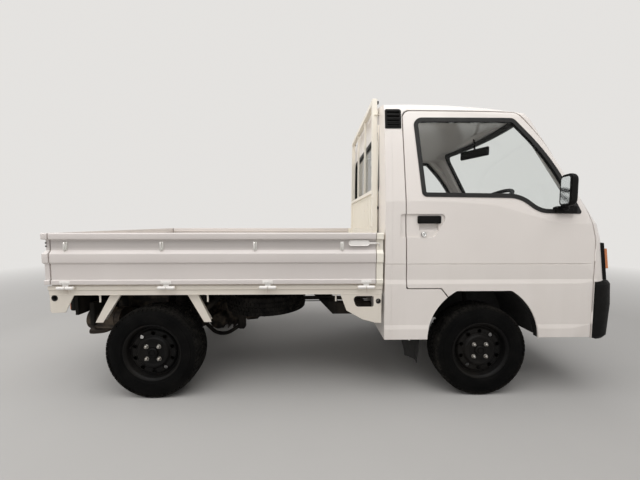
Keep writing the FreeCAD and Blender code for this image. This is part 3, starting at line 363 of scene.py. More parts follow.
def makeTyre(name, wallDark, wallPale, treadDark, treadPale):
    # u runs round the wheel and v from the inner bead to the outer one
    finish, tree, shader = newFinish(name)
    coords = tree.nodes.new("ShaderNodeTexCoord")
    around, across = splitPlace(tree, coords.outputs["UV"])[:2]
    middle = combine(tree, "ABSOLUTE", combine(tree, "SUBTRACT", across, 0.5))
    tread = spread(tree, middle, 0.19, 0.23, 1.0, 0.0)
    side = blendColours(tree, spread(tree, noise(tree, 9.0, 5.0), 0.4, 0.7), wallDark, wallPale)
    dusty = blendColours(tree, spread(tree, noise(tree, 25.0, 5.0), 0.35, 0.7), treadDark, treadPale)
    feed(tree, blendColours(tree, tread, side, dusty), shader, "Base Color")
    feed(tree, spread(tree, noise(tree, 50.0), 0.3, 0.7, 0.58, 0.74), shader, "Roughness")
    setSockets(shader, Specular_IOR_Level=0.04)
    # fine rings on the whole wall and short ribs in one band of it
    rings = combine(tree, "SINE", times(tree, across, 620.0))
    ribs = combine(tree, "SINE", times(tree, around, 1500.0))
    band = times(tree, spread(tree, middle, 0.245, 0.25), spread(tree, middle, 0.275, 0.28, 1.0, 0.0))
    pattern = combine(tree, "ADD", times(tree, rings, 0.25), times(tree, ribs, band))
    lumps = combine(tree, "ADD", pattern, times(tree, noise(tree, 220.0), 0.8))
    bump(tree, shader, lumps, 0.35, 0.0007)
    return finish


def makeMetal(name, colour, rough, wear, scale=60.0):
    finish, tree, shader = newFinish(name)
    stains = times(tree, spread(tree, noise(tree, scale, 5.0), 0.45, 0.75), wear)
    feed(tree, blendColours(tree, stains, colour, stainColour), shader, "Base Color")
    feed(tree, spread(tree, noise(tree, scale * 2.0), 0.3, 0.7, rough - 0.05, rough + 0.15), shader,
        "Roughness")
    setSockets(shader, Metallic=1.0)
    bump(tree, shader, noise(tree, 500.0, 2.0), 0.08, 0.0004, softEdges(tree, 0.0012))
    return finish


def makeGlass(name, tint, shade):
    # clear glass that lets lamp light through to what lies behind it
    finish, tree, shader = newFinish(name)
    setSockets(shader, Base_Color=(*tint, 1.0), Transmission_Weight=1.0, IOR=1.15)
    feed(tree, spread(tree, noise(tree, 6.0, 5.0, (1.0, 1.0, 0.3)), 0.55, 0.85, 0.0, 0.05), shader,
        "Roughness")
    clear = addNode(tree, "ShaderNodeBsdfTransparent", Color=(*shade, 1.0))
    path = tree.nodes.new("ShaderNodeLightPath")
    mixShaders(tree, path.outputs["Is Shadow Ray"], shader.outputs["BSDF"], clear.outputs["BSDF"])
    return finish


def makeLens(name, colour, flutes):
    finish, tree, shader = newFinish(name)
    patches = spread(tree, noise(tree, 20.0), 0.3, 0.7)
    feed(tree, blendColours(tree, patches, scaled(colour, 0.8), colour), shader, "Base Color")
    setSockets(shader, Roughness=0.12, Coat_Weight=0.7, Coat_Roughness=0.06)
    wave = addNode(tree, "ShaderNodeTexWave", {"bands_direction": "Y"}, Scale=flutes)
    feed(tree, objectPlace(tree), wave, "Vector")
    bump(tree, shader, wave.outputs["Fac"], 0.5, 0.0015, softEdges(tree, 0.003))
    return finish


def makeCloth(name, colour, threads):
    finish, tree, shader = newFinish(name)
    x, y, z = splitPlace(tree)
    warp = combine(tree, "SINE", times(tree, y, threads))
    weft = combine(tree, "SINE", times(tree, combine(tree, "ADD", x, z), threads))
    weave = times(tree, warp, weft)
    mottled = spread(tree, noise(tree, 30.0, 4.0), 0.3, 0.7)
    tone = blendColours(tree, mottled, scaled(colour, 0.8), scaled(colour, 1.2))
    woven = blendColours(tree, spread(tree, weave, -1.0, 1.0), tone, scaled(colour, 1.35))
    feed(tree, woven, shader, "Base Color")
    setSockets(shader, Roughness=0.88, Sheen_Weight=0.25)
    bump(tree, shader, weave, 0.35, 0.0006)
    return finish


def makePaintedPlate(name, colour):
    finish, tree, shader = newFinish(name)
    marks = times(tree, spread(tree, noise(tree, 40.0, 5.0), 0.5, 0.75), 0.3)
    feed(tree, blendColours(tree, marks, colour, dustColour), shader, "Base Color")
    setSockets(shader, Roughness=0.38)
    bump(tree, shader, noise(tree, 120.0, 2.0), 0.1, 0.0005, softEdges(tree, 0.001))
    return finish


# how each other finish is made, and its values
otherFinishes = {
    # colour, roughness, grain scale and depth, fading
    "bumperBlack": (makePlastic, (0.0034, 0.0031, 0.0028), 0.62, 900.0, 0.3),
    "trimBlack": (makePlastic, (0.0055, 0.0052, 0.0048), 0.48, 1400.0, 0.12),
    "dashGrey": (makePlastic, (0.030, 0.030, 0.032), 0.62, 700.0, 0.4, 0.12),
    # colour, roughness
    "sealRubber": (makeRubber, (0.0075, 0.0073, 0.007), 0.55),
    "flapRubber": (makeRubber, (0.016, 0.0155, 0.015)),
    # dark and pale tones of the wall, then of the tread
    "tyreRubber": (makeTyre, (0.0026, 0.0026, 0.0026), (0.0058, 0.0055, 0.0052),
                   (0.005, 0.0048, 0.0046), (0.017, 0.0155, 0.0135)),
    # colour, roughness, wear, scale of the stains
    "chrome": (makeMetal, (0.80, 0.80, 0.79), 0.12, 0.12),
    "zinc": (makeMetal, (0.80, 0.79, 0.76), 0.36, 0.25),
    "castIron": (makeMetal, (0.030, 0.028, 0.026), 0.62, 0.6, 18.0),
    "mirrorFace": (makeMetal, (0.86, 0.87, 0.88), 0.08, 0.03),
    "exhaustSteel": (makeMetal, (0.045, 0.038, 0.033), 0.62, 0.8, 14.0),
    "wheelNut": (makeMetal, (0.34, 0.33, 0.31), 0.34, 0.5),
    # tint, share of lamp light let through
    "windowGlass": (makeGlass, (0.90, 0.92, 0.915), (0.82, 0.84, 0.84)),
    "lampGlass": (makeGlass, (0.95, 0.96, 0.96), (0.92, 0.92, 0.92)),
    # colour, flutes
    "amberLens": (makeLens, (0.62, 0.17, 0.025), 55.0),
    "redLens": (makeLens, (0.42, 0.012, 0.010), 40.0),
    "clearLens": (makeLens, (0.62, 0.62, 0.60), 40.0),
    "seatCloth": (makeCloth, (0.115, 0.115, 0.12), 1800.0),
    "plateWhite": (makePaintedPlate, (0.74, 0.73, 0.68)),
}

finishes = {}


def makeFinishes():
    for name in paints:
        finishes[name] = makePaint(name)
    for name, (maker, *values) in otherFinishes.items():
        finishes[name] = maker(name, *values)
    print("finishes ready", len(finishes))


nodeFinishes = {
    "cabWhite": ["cab_rear_panel", "cab_front_panel", "cab_roof", "cab_side_panels", "door_left",
    "door_right"],
    "cabFloorGrey": ["cab_floor"],
    "frameCream": ["bed_floor", "bed_brackets"],
    "guardCream": ["guard_frame"],
    "gateWhite": ["side_gate_left", "side_gate_right", "tailgate"],
    "chassisBlack": ["chassis_frame", "rear_suspension", "front_suspension", "fuel_tank", "knuckle_left",
    "knuckle_right"],
    "castIron": ["engine"],
    "exhaustSteel": ["muffler"],
    "wheelBlack": ["front_left_wheel", "front_right_wheel", "rear_left_wheel", "rear_right_wheel"],
    "bumperBlack": ["front_bumper", "headlamp_bezels"],
    "trimBlack": ["door_mirror_left", "door_mirror_right", "cab_vents", "door_handle_left",
    "door_handle_right", "interior_mirror"],
    "sealRubber": ["window_seals", "door_seal_left", "door_seal_right"],
    "flapRubber": ["mud_flaps"],
    "tyreRubber": ["front_left_tyre", "front_right_tyre", "rear_left_tyre", "rear_right_tyre", "spare_wheel"],
    "windowGlass": ["windscreen", "rear_window", "door_glass_left", "door_glass_right"],
    "lampGlass": ["headlamps"],
    "amberLens": ["turn_lamps"],
    "redLens": ["tail_lamps"],
    "plateWhite": ["number_plate"],
    "dashGrey": ["dashboard", "steering_column", "steering_wheel"],
    "seatCloth": ["seat_cushions", "seat_backs"],
}


def dressNodes():
    for finishName, members in nodeFinishes.items():
        for member in members:
            mesh = nodes[member].data
            mesh.materials.clear()
            mesh.materials.append(finishes[finishName])


makeFinishes()
makeStage()
dressNodes()
print("model dressed")

# ---- mesh helpers

def link(name, mesh):
    piece = bpy.data.objects.new(name, mesh)
    scene.collection.objects.link(piece)
    return piece


def meshOf(name, shape, finish, smooth=35.0):
    mesh = bpy.data.meshes.new(name)
    mesh.from_pydata([tuple(p) for p in shape[0]], [], shape[1])
    mesh.materials.append(finishes[finish])
    tidy(mesh, smooth)
    return mesh


def meshPiece(name, shape, finish, smooth=35.0):
    return link(name, meshOf(name, shape, finish, smooth))


def shapeOf(mesh):
    return [v.co.copy() for v in mesh.vertices], [tuple(f.vertices) for f in mesh.polygons]


def solvedMesh(piece):
    # the piece's mesh with its modifiers worked out
    return bpy.data.meshes.new_from_object(piece.evaluated_get(bpy.context.evaluated_depsgraph_get()))


def tidy(mesh, smooth=35.0):
    shell = bmesh.new()
    shell.from_mesh(mesh)
    bmesh.ops.remove_doubles(shell, verts=shell.verts, dist=1e-6)
    bmesh.ops.recalc_face_normals(shell, faces=shell.faces)
    limit = math.radians(smooth)
    for edge in shell.edges:
        edge.smooth = len(edge.link_faces) == 2 and edge.calc_face_angle(0.0) < limit
    for face in shell.faces:
        face.smooth = True
    shell.to_mesh(mesh)
    shell.free()


def roundPath(points, radius, steps=4, closed=True):
    # rounds each corner of a flat path; a point may carry its own radius
    path = []
    count = len(points)
    for i, point in enumerate(points):
        here = Vector(point[:2])
        size = point[2] if len(point) > 2 else radius
        if size <= 0.0 or (not closed and i in (0, count - 1)):
            path.append(here)
            continue
        before = Vector(points[i - 1][:2]) - here
        after = Vector(points[(i + 1) % count][:2]) - here
        angle = before.angle(after)
        if angle > math.pi - 0.02:
            path.append(here)
            continue
        run = min(size / math.tan(angle / 2), before.length * 0.49, after.length * 0.49)
        size = run * math.tan(angle / 2)
        centre = here + (before.normalized() + after.normalized()).normalized() * (size / math.sin(angle / 2))
        first = here + before.normalized() * run - centre
        last = here + after.normalized() * run - centre
        turn = first.angle_signed(last)
        for k in range(steps + 1):
            a = -turn * k / steps
            across = first.x * math.cos(a) - first.y * math.sin(a)
            along = first.x * math.sin(a) + first.y * math.cos(a)
            path.append(centre + Vector((across, along)))
    return path


def extrudePath(path, low, high, axis):
    # closed flat path pushed from low to high along x, y or z, with both ends capped
    def put(a, b, c):
        return {"x": (c, a, b), "y": (a, c, b), "z": (a, b, c)}[axis]
    return loftRings([[put(p[0], p[1], c) for p in path] for c in (low, high)])


def loftRings(rings):
    # joins rings of equal count in order and closes the first and the last
    count = len(rings[0])
    points = [p for ring in rings for p in ring]
    faces = []
    for i in range(len(rings) - 1):
        for k in range(count):
            m = (k + 1) % count
            faces.append((i * count + k, i * count + m, (i + 1) * count + m, (i + 1) * count + k))
    faces.append(tuple(range(count - 1, -1, -1)))
    faces.append(tuple(range((len(rings) - 1) * count, len(rings) * count)))
    return points, faces


def joinShapes(shapes):
    points, faces = [], []
    for morePoints, moreFaces in shapes:
        base = len(points)
        points.extend(tuple(p) for p in morePoints)
        faces.extend(tuple(base + i for i in face) for face in moreFaces)
    return points, faces


def shiftShape(shape, offset=(0, 0, 0), turn=None):
    points, faces = shape
    matrix = Matrix.Translation(Vector(offset)) @ (turn.to_4x4() if turn else Matrix.Identity(4))
    return [matrix @ Vector(p) for p in points], faces


def mirrorShape(shape):
    points, faces = shape
    return [(p[0], -p[1], p[2]) for p in points], [tuple(reversed(f)) for f in faces]


def sided(shape, side, made="left"):
    # the shape for one side, made for the other or for this one
    return shape if side == made else mirrorShape(shape)


def turnBy(degrees, axis):
    return Matrix.Rotation(math.radians(degrees), 3, axis)


def boxShape(low, high, edge=0.002):
    # a block with its edges cut back
    shell = bmesh.new()
    bmesh.ops.create_cube(shell, size=1.0)
    size = Vector(high) - Vector(low)
    centre = (Vector(high) + Vector(low)) / 2
    for vert in shell.verts:
        vert.co = centre + Vector(vert.co[i] * size[i] for i in range(3))
    width = min(edge, min(size) * 0.45)
    bmesh.ops.bevel(shell, geom=shell.edges[:], offset=width, segments=2, affect="EDGES", profile=0.5)
    shell.verts.index_update()
    shape = [v.co.copy() for v in shell.verts], [tuple(v.index for v in f.verts) for f in shell.faces]
    shell.free()
    return shape


def latheShape(profile, segments, closed=False):
    # profile of (distance along Y, radius), turned about the Y axis; a radius of 0 closes the end
    points, faces = [], []
    count = len(profile)
    for s in range(segments):
        a = math.tau * s / segments
        points.extend((r * math.sin(a), y, r * math.cos(a)) for y, r in profile)
    for s in range(segments):
        t = (s + 1) % segments
        for i in range(count if closed else count - 1):
            j = (i + 1) % count
            faces.append((s * count + i, s * count + j, t * count + j, t * count + i))
    return points, faces


def rodShape(start, end, radius, segments=12, edge=None):
    # a round bar between two points with its rims cut back
    start, end = Vector(start), Vector(end)
    length = (end - start).length
    edge = radius * 0.2 if edge is None else edge
    edge = min(edge, length * 0.4)
    profile = [(0.0, 0.0), (0.0, radius - edge), (edge, radius), (length - edge, radius),
        (length, radius - edge), (length, 0.0)]
    shape = latheShape(profile, segments)
    turn = Vector((0, 1, 0)).rotation_difference(end - start).to_matrix()
    return shiftShape(shape, start, turn)


def tubeShape(path, radius, segments=8, closed=False):
    # a round tube along a path of points
    path = [Vector(p) for p in path]
    points, faces = [], []
    count = len(path)
    side = None
    for i, p in enumerate(path):
        before = path[i - 1] if (i or closed) else p
        after = path[(i + 1) % count] if (i < count - 1 or closed) else p
        along = (after - before).normalized()
        if side is None:
            side = along.orthogonal().normalized()
        side = (side - along * side.dot(along)).normalized()
        other = along.cross(side)
        for k in range(segments):
            a = math.tau * k / segments
            points.append(p + (side * math.cos(a) + other * math.sin(a)) * radius)
    for i in range(count if closed else count - 1):
        j = (i + 1) % count
        for k in range(segments):
            m = (k + 1) % segments
            faces.append((i * segments + k, i * segments + m, j * segments + m, j * segments + k))
    if not closed:
        faces.append(tuple(range(segments - 1, -1, -1)))
        faces.append(tuple(range((count - 1) * segments, count * segments)))
    return points, faces


def smoothRoute(points, steps=6):
    # Catmull-Rom route through the points
    route = []
    points = [Vector(p) for p in points]
    padded = [points[0] * 2 - points[1]] + points + [points[-1] * 2 - points[-2]]
    for i in range(1, len(padded) - 2):
        a, b, c, d = padded[i - 1:i + 3]
        for k in range(steps):
            t = k / steps
            square = (2 * a - 5 * b + 4 * c - d) * t * t
            cube = (3 * b - a - 3 * c + d) * t ** 3
            route.append(0.5 * (2 * b + (c - a) * t + square + cube))
    route.append(points[-1])
    return route


def wireShape(points, steps, radius, segments):
    return tubeShape(smoothRoute(points, steps), radius, segments)


def circle(count):
    return [math.tau * k / count for k in range(count)]


# ---- repeated pieces, made with Geometry Nodes

def makeRepeatTree():
    # copies a source object along a step, each copy turned a little further
    tree = bpy.data.node_groups.new("repeatPieces", "GeometryNodeTree")
    tree.interface.new_socket("Geometry", in_out="OUTPUT", socket_type="NodeSocketGeometry")
    wanted = {"Source": "Object", "Count": "Int", "Start": "Vector", "Step": "Vector", "Turn": "Vector"}
    for name, kind in wanted.items():
        tree.interface.new_socket(name, in_out="INPUT", socket_type="NodeSocket" + kind)
    entry = addNode(tree, "NodeGroupInput")
    leave = addNode(tree, "NodeGroupOutput")
    line = addNode(tree, "GeometryNodeMeshLine", {"mode": "OFFSET"})
    info = addNode(tree, "GeometryNodeObjectInfo")
    place = addNode(tree, "GeometryNodeInstanceOnPoints")
    index = addNode(tree, "GeometryNodeInputIndex")
    turned = addNode(tree, "ShaderNodeVectorMath", {"operation": "SCALE"})
    realize = addNode(tree, "GeometryNodeRealizeInstances")
    for source, output, target, name in (
        (entry, "Count", line, "Count"), (entry, "Start", line, "Start Location"),
        (entry, "Step", line, "Offset"), (entry, "Source", info, "Object"),
        (line, "Mesh", place, "Points"), (info, "Geometry", place, "Instance"),
        (entry, "Turn", turned, "Vector"), (index, "Index", turned, "Scale"),
        (turned, "Vector", place, "Rotation"), (place, "Instances", realize, "Geometry"),
        (realize, "Geometry", leave, "Geometry"),
    ):
        tree.links.new(source.outputs[output], target.inputs[name])
    return tree


repeatTree = makeRepeatTree()
repeatSockets = {
    item.name: item.identifier for item in repeatTree.interface.items_tree if item.in_out == "INPUT"
}


def repeatShape(shape, count, start=(0, 0, 0), step=(0, 0, 0), turn=(0, 0, 0)):
    # returns the shape repeated by the node tree, as plain points and faces
    source = meshPiece("repeatSource", shape, "trimBlack")
    holder = link("repeatHolder", bpy.data.meshes.new("repeatHolder"))
    modifier = holder.modifiers.new("repeat", "NODES")
    modifier.node_group = repeatTree
    for name, value in (("Source", source), ("Count", count), ("Start", start), ("Step", step),
            ("Turn", turn)):
        modifier[repeatSockets[name]] = value
    bpy.context.view_layer.update()
    solved = solvedMesh(holder)
    result = shapeOf(solved)
    holder.modifiers.clear()
    for thing in (holder, source):
        mesh = thing.data
        bpy.data.objects.remove(thing)
        bpy.data.meshes.remove(mesh)
    bpy.data.meshes.remove(solved)
    return result


def rideAll(pieces, body):
    for piece in pieces:
        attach(piece, body)


# ---- tyres and wheels

def metres(node):
    low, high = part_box(node)
    return low, high, (low + high) / 2


tyreValues = {
    "radius": 0.267,
    "width": 0.145,
    "beadRadius": 0.158,
    "grooveDepth": 0.0065,
    "blocks": 62,
    "rows": [-0.047, -0.0165, 0.0165, 0.047],
    "rowWidth": 0.0245,
    "segments": 124,
}

wheelValues = {
    "rimRadius": 0.155,
    "rimHalfWidth": 0.0675,
    "discFace": 0.0575,
    "ventCount": 10,
    "ventCircle": 0.111,
    "ventRadius": 0.0125,
    "nutCount": 4,
    "nutCircle": 0.050,
    "segments": 96,
}


def tyreProfile():
    # from the inner bead, over the sidewall and tread, to the outer bead
    values = tyreValues
    half = values["width"] / 2
    radius = values["radius"]
    floor = radius - values["grooveDepth"]
    bead = values["beadRadius"]
    side = [
        (half - 0.0125, bead - 0.002), (half - 0.0075, bead + 0.004), (half - 0.0045, bead + 0.012),
        (half - 0.0035, bead + 0.016), (half - 0.0020, bead + 0.017), (half - 0.0015, bead + 0.022),
        (half - 0.0005, bead + 0.032), (half, bead + 0.048), (half - 0.0010, bead + 0.060),
        (half - 0.0012, bead + 0.0605), (half - 0.0028, bead + 0.0610), (half - 0.0038, bead + 0.070),
        (half - 0.0065, radius - 0.030), (half - 0.0085, radius - 0.024), (half - 0.0085, radius - 0.0215),
        (half - 0.0125, radius - 0.014), (half - 0.0165, radius - 0.0085), (half - 0.0225, floor - 0.0005),
    ]
    inner = [(-a, r) for a, r in side]
    middle = [(-(half - 0.030), floor), (0.0, floor + 0.0008), (half - 0.030, floor)]
    return inner + middle + side[::-1]


def treadShape():
    values = tyreValues
    radius = values["radius"]
    depth = values["grooveDepth"] + 0.0015
    pitch = math.tau / values["blocks"]
    shapes = []
    for row, across in enumerate(values["rows"]):
        outerRow = row in (0, len(values["rows"]) - 1)
        half = values["rowWidth"] / 2
        span = pitch * (0.86 if outerRow else 0.84)
        slant = 0.004 if row % 2 else -0.004
        sign = 1.0 if across > 0 else -1.0
        corners = []
        for level in (0, 1):
            r = radius - depth if level == 0 else radius
            crown = 0.0010 * (across / 0.047) ** 2
            for k in range(4):
                a = span * (k / 3 - 0.5)
                zig = slant * (k / 3 - 0.5) * 2
                for edge in (-1, 1):
                    y = across + edge * half + zig * (0.35 if outerRow else 1.0)
                    drop = crown
                    if outerRow and edge * sign > 0:
                        y = across + edge * (half + 0.004)
                        drop = 0.0042
                    corners.append(((r - drop) * math.sin(a), y, (r - drop) * math.cos(a)))
        faces = []
        for k in range(3):
            faces.append((8 + 2 * k, 8 + 2 * k + 1, 8 + 2 * k + 3, 8 + 2 * k + 2))
            faces.append((2 * k, 2 * k + 2, 8 + 2 * k + 2, 8 + 2 * k))
            faces.append((2 * k + 1, 8 + 2 * k + 1, 8 + 2 * k + 3, 2 * k + 3))
        faces.append((0, 8, 9, 1))
        faces.append((6, 7, 15, 14))
        faces.append((0, 1, 3, 2))
        faces.append((2, 3, 5, 4))
        faces.append((4, 5, 7, 6))
        offsetTurn = Matrix.Rotation(pitch * 0.5 * (row % 2), 3, "Y")
        shapes.append(repeatShape(shiftShape((corners, faces), turn=offsetTurn), values["blocks"],
            turn=(0.0, pitch, 0.0)))
    # shoulder bars over the edge of the tread
    bar = boxShape((-0.0042, 0.058, radius - 0.020), (0.0042, 0.0665, radius - 0.0085), 0.0015)
    bars = repeatShape(bar, values["blocks"], turn=(0.0, pitch, 0.0))
    shapes.append(bars)
    shapes.append(mirrorShape(bars))
    return joinShapes(shapes)


def makeTyreMesh():
    values = tyreValues
    profile = tyreProfile()
    carcass = latheShape(profile, values["segments"], closed=True)
    mesh = meshOf("tyreShape", joinShapes([carcass, treadShape()]), "tyreRubber", 40.0)
    lengths = [0.0]
    for a, b in zip(profile, profile[1:]):
        lengths.append(lengths[-1] + math.dist(a, b))
    total = lengths[-1]
    uv = mesh.uv_layers.new(name="wrap")
    for face in mesh.polygons:
        angles = []
        for corner in face.loop_indices:
            co = mesh.vertices[mesh.loops[corner].vertex_index].co
            angles.append(math.atan2(co.x, co.z) / (2 * math.pi))
        wrapped = max(angles) - min(angles) > 0.5
        for corner, angle in zip(face.loop_indices, angles):
            co = mesh.vertices[mesh.loops[corner].vertex_index].co
            radius = math.hypot(co.x, co.z)
            gaps = [(y - co.y) ** 2 + (r - radius) ** 2 for y, r in profile]
            share = lengths[gaps.index(min(gaps))] / total
            uv.data[corner].uv = (angle + (1.0 if wrapped and angle < 0 else 0.0), share)
    return mesh


def makeWheelMesh():
    # pressed steel disc in a rolled rim, with its outer face towards +Y
    values = wheelValues
    rim = values["rimRadius"]
    edge = values["rimHalfWidth"]
    outerRim = [
        (edge, rim + 0.0105), (edge - 0.003, rim + 0.0115), (edge - 0.006, rim + 0.008),
        (edge - 0.0085, rim + 0.002),
        (edge - 0.013, rim - 0.001), (edge - 0.024, rim - 0.0035), (edge - 0.034, rim - 0.012),
        (edge - 0.052, rim - 0.014),
        (-0.040, rim - 0.002), (-edge + 0.006, rim + 0.001), (-edge + 0.002, rim + 0.009),
        (-edge, rim + 0.0095),
    ]
    innerRim = [
        (-edge + 0.001, rim + 0.004), (-edge + 0.004, rim - 0.004), (-0.040, rim - 0.007),
        (edge - 0.052, rim - 0.018),
        (edge - 0.036, rim - 0.017), (edge - 0.026, rim - 0.009), (edge - 0.014, rim - 0.0065),
        (edge - 0.008, rim - 0.004),
        (edge - 0.003, rim + 0.001), (edge + 0.0005, rim + 0.006),
    ]
    barrel = latheShape(outerRim + innerRim, values["segments"], closed=True)
    face = values["discFace"]
    front = [
        (face - 0.004, 0.0300), (face + 0.0005, 0.0310), (face + 0.0015, 0.0345), (face - 0.0005, 0.0390),
        (face - 0.0015, 0.0600),
        (face - 0.0005, 0.0680), (face + 0.0035, 0.0735), (face + 0.0045, 0.0790), (face + 0.0030, 0.0850),
        (face - 0.0030, 0.0905), (face - 0.0085, 0.0935), (face - 0.0105, 0.0975), (face - 0.0095, 0.1020),
        (face - 0.0085, 0.1110),
        (face - 0.0105, 0.1230), (face - 0.0160, 0.1285), (face - 0.0240, 0.1330), (face - 0.0250, 0.1400),
    ]
    thickness = 0.0038
    back = [(y - thickness, r) for y, r in reversed(front)]
    disc = latheShape(front + back, values["segments"], closed=True)
    discPiece = meshPiece("discBlank", disc, "wheelBlack", 40.0)
    vent = rodShape((0, face - 0.06, values["ventCircle"]), (0, face + 0.03, values["ventCircle"]),
        values["ventRadius"], 20, 0.0001)
    step = math.tau / values["ventCount"]
    vents = repeatShape(vent, values["ventCount"], turn=(0.0, step, 0.0))
    cutter = meshPiece("ventCutter", vents, "wheelBlack")
    cut = discPiece.modifiers.new("vents", "BOOLEAN")
    cut.object = cutter
    cut.operation = "DIFFERENCE"
    cut.solver = "EXACT"
    bpy.context.view_layer.update()
    disc = shapeOf(solvedMesh(discPiece))
    bpy.data.objects.remove(discPiece)
    bpy.data.objects.remove(cutter)
    # rolled lip round each vent
    lip = [(values["ventRadius"] * math.cos(a), face - 0.0080,
        values["ventCircle"] + values["ventRadius"] * math.sin(a))
           for a in circle(20)]
    lips = repeatShape(tubeShape(lip, 0.0011, 6, True), values["ventCount"], turn=(0.0, step, 0.0))
    cap = latheShape([(face - 0.014, 0.031), (face - 0.002, 0.0305), (face + 0.006, 0.0285),
        (face + 0.0095, 0.0245),
                      (face + 0.0100, 0.0215), (face + 0.0050, 0.0205), (face + 0.0045, 0.0140),
                      (face + 0.0080, 0.0125),
                      (face + 0.0085, 0.0)], 40)
    valve = rodShape((0.128, face - 0.030, 0.030), (0.124, face + 0.004, 0.030), 0.0042, 10)
    return meshOf("wheelShape", joinShapes([barrel, disc, lips, cap, valve]), "wheelBlack", 32.0)


def makeNutMesh():
    # hexagon nuts with domed ends on washers
    values = wheelValues
    face = values["discFace"]
    hexagon = [Vector((0.0098 * math.sin(math.pi / 3 * k), 0.0098 * math.cos(math.pi / 3 * k)))
        for k in range(6)]
    body = extrudePath(hexagon, face - 0.002, face + 0.0095, "y")
    dome = latheShape([(face + 0.0095, 0.0088), (face + 0.0120, 0.0080), (face + 0.0150, 0.0055),
        (face + 0.0160, 0.0)], 16)
    washer = latheShape([(face - 0.001, 0.0125), (face + 0.0012, 0.0120), (face + 0.0015, 0.0)], 20)
    step = math.tau / values["nutCount"]
    nut = joinShapes([body, dome, washer])
    at = Vector((values["nutCircle"] * math.sin(step / 2), 0.0, values["nutCircle"] * math.cos(step / 2)))
    nuts = repeatShape(shiftShape(nut, at), values["nutCount"], turn=(0.0, step, 0.0))
    return meshOf("nutShape", nuts, "wheelNut", 30.0)


def placeMesh(source, name, centre, flip):
    # a copy of a wheel part at an axle end; flip turns its outer face to the other side
    mesh = source.copy()
    mesh.name = name
    turn = Matrix.Rotation(math.pi, 4, "Z") if flip else Matrix.Identity(4)
    mesh.transform(Matrix.Translation(centre) @ turn)
    return link(name, mesh)


def makeWheels():
    tyre, wheel, nuts = makeTyreMesh(), makeWheelMesh(), makeNutMesh()
    for axle in ("front", "rear"):
        for side in ("left", "right"):
            prefix = f"{axle}_{side}"
            centre = metres(f"{prefix}_tyre")[2]
            flip = side == "right"
            body = f"{prefix}_road_wheel"
            tyrePiece = placeMesh(tyre, f"{prefix}_tyreLook", centre, flip)
            wheelPiece = placeMesh(wheel, f"{prefix}_wheelLook", centre, flip)
            nutPiece = placeMesh(nuts, f"{prefix}_nuts", centre, flip)
            rideAll([tyrePiece], body)
            rideAll([wheelPiece, nutPiece], body)
            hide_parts(f"{prefix}_tyre")
            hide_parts(f"{prefix}_wheel")
    # the spare lies flat under the bed
    centre = metres("spare_wheel")[2]
    lay = Matrix.Rotation(-math.pi / 2, 4, "X") @ Matrix.Scale(0.985, 4)
    spareTyre, spareWheel = tyre.copy(), wheel.copy()
    for mesh in (spareTyre, spareWheel):
        mesh.transform(Matrix.Scale(0.86, 4, (0, 1, 0)))
        mesh.transform(Matrix.Translation(centre) @ lay)
    tyrePiece, wheelPiece = link("spareTyreLook", spareTyre), link("spareWheelLook", spareWheel)
    rideAll([tyrePiece], "truck")
    rideAll([wheelPiece], "truck")
    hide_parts("spare_wheel")
    print("wheels ready", len(tyre.polygons), len(wheel.polygons))


makeWheels()


# ---- load bed

bedValues = {
    "halfWidth": 0.6975,
    "thickness": 0.037,
    "sheet": 0.0012,
    # z, depth of the outer face, corner radius
    "gateSteps": [
        (0.9520, 0.0030, 0.003), (0.9480, 0.0, 0.004), (0.9180, 0.0, 0.003), (0.9150, 0.0140, 0.003),
        (0.8570, 0.0140, 0.006),
        (0.8380, 0.0, 0.006), (0.7900, 0.0, 0.004), (0.7815, 0.0075, 0.004), (0.6945, 0.0075, 0.003),
        (0.6905, 0.0030, 0.002),
        (0.6680, 0.0030, 0.002),
    ],
    "sideFront": 0.1825,
    "hookPlaces": [-1.523, -1.002, -0.489, -0.005],
    "pegPlaces": [-1.358, -0.760, -0.039],
    "hingePlaces": [-1.530, -0.980, -0.420, 0.130],
    "tailHinges": [-0.450, 0.0, 0.450],
    "hingeZ": 0.648,
    "hingeInset": 0.007,
    "hingeLength": 0.100,
    # depth of the inner face, z
    "gateInside": [
        (0.002, 0.668), (0.0, 0.670), (0.0, 0.700), (0.004, 0.704), (0.004, 0.800), (0.0, 0.804),
        (0.0, 0.816), (0.004, 0.820), (0.004, 0.916), (0.0, 0.920), (0.0, 0.950), (0.002, 0.952),
    ],
    "deckRibs": 15,
    "deckRibPitch": 0.082,
    "deckRibEnds": (-1.585, 0.170),
    "deckTop": 0.662,
    "sillEnds": (-1.625, 0.219),
    # x, z, radius and whether the inner end is closed
    "ropeHoles": [(-1.603, 0.590, 0.014, True), (0.202, 0.565, 0.011, False)],
}


def gateShell():
    # outer steps of a gate, from top to bottom, as (depth, z) with round corners
    steps = bedValues["gateSteps"]
    return roundPath([(depth, z, radius) for z, depth, radius in steps], 0.0, 3, False)


def sideGateShape(lowX, highX):
    values = bedValues
    inner = values["halfWidth"] - values["thickness"]
    path = [(values["halfWidth"] - p.x, p.y) for p in gateShell()]
    path += [(inner + lift, z) for lift, z in values["gateInside"]]
    return extrudePath(path, lowX, highX, "x")


def tailGateShape(rearX):
    # stepped on its outer face and on both ends
    inner = rearX + bedValues["thickness"]
    rings = []
    for depth, z in gateShell():
        wide = bedValues["halfWidth"] - depth
        face = rearX + depth
        plan = [(inner, wide, 0.0), (face, wide, 0.007), (face, -wide, 0.007), (inner, -wide, 0.0)]
        rings.append([(p.x, p.y, z) for p in roundPath(plan, 0.0, 3, True)])
    return loftRings(rings)


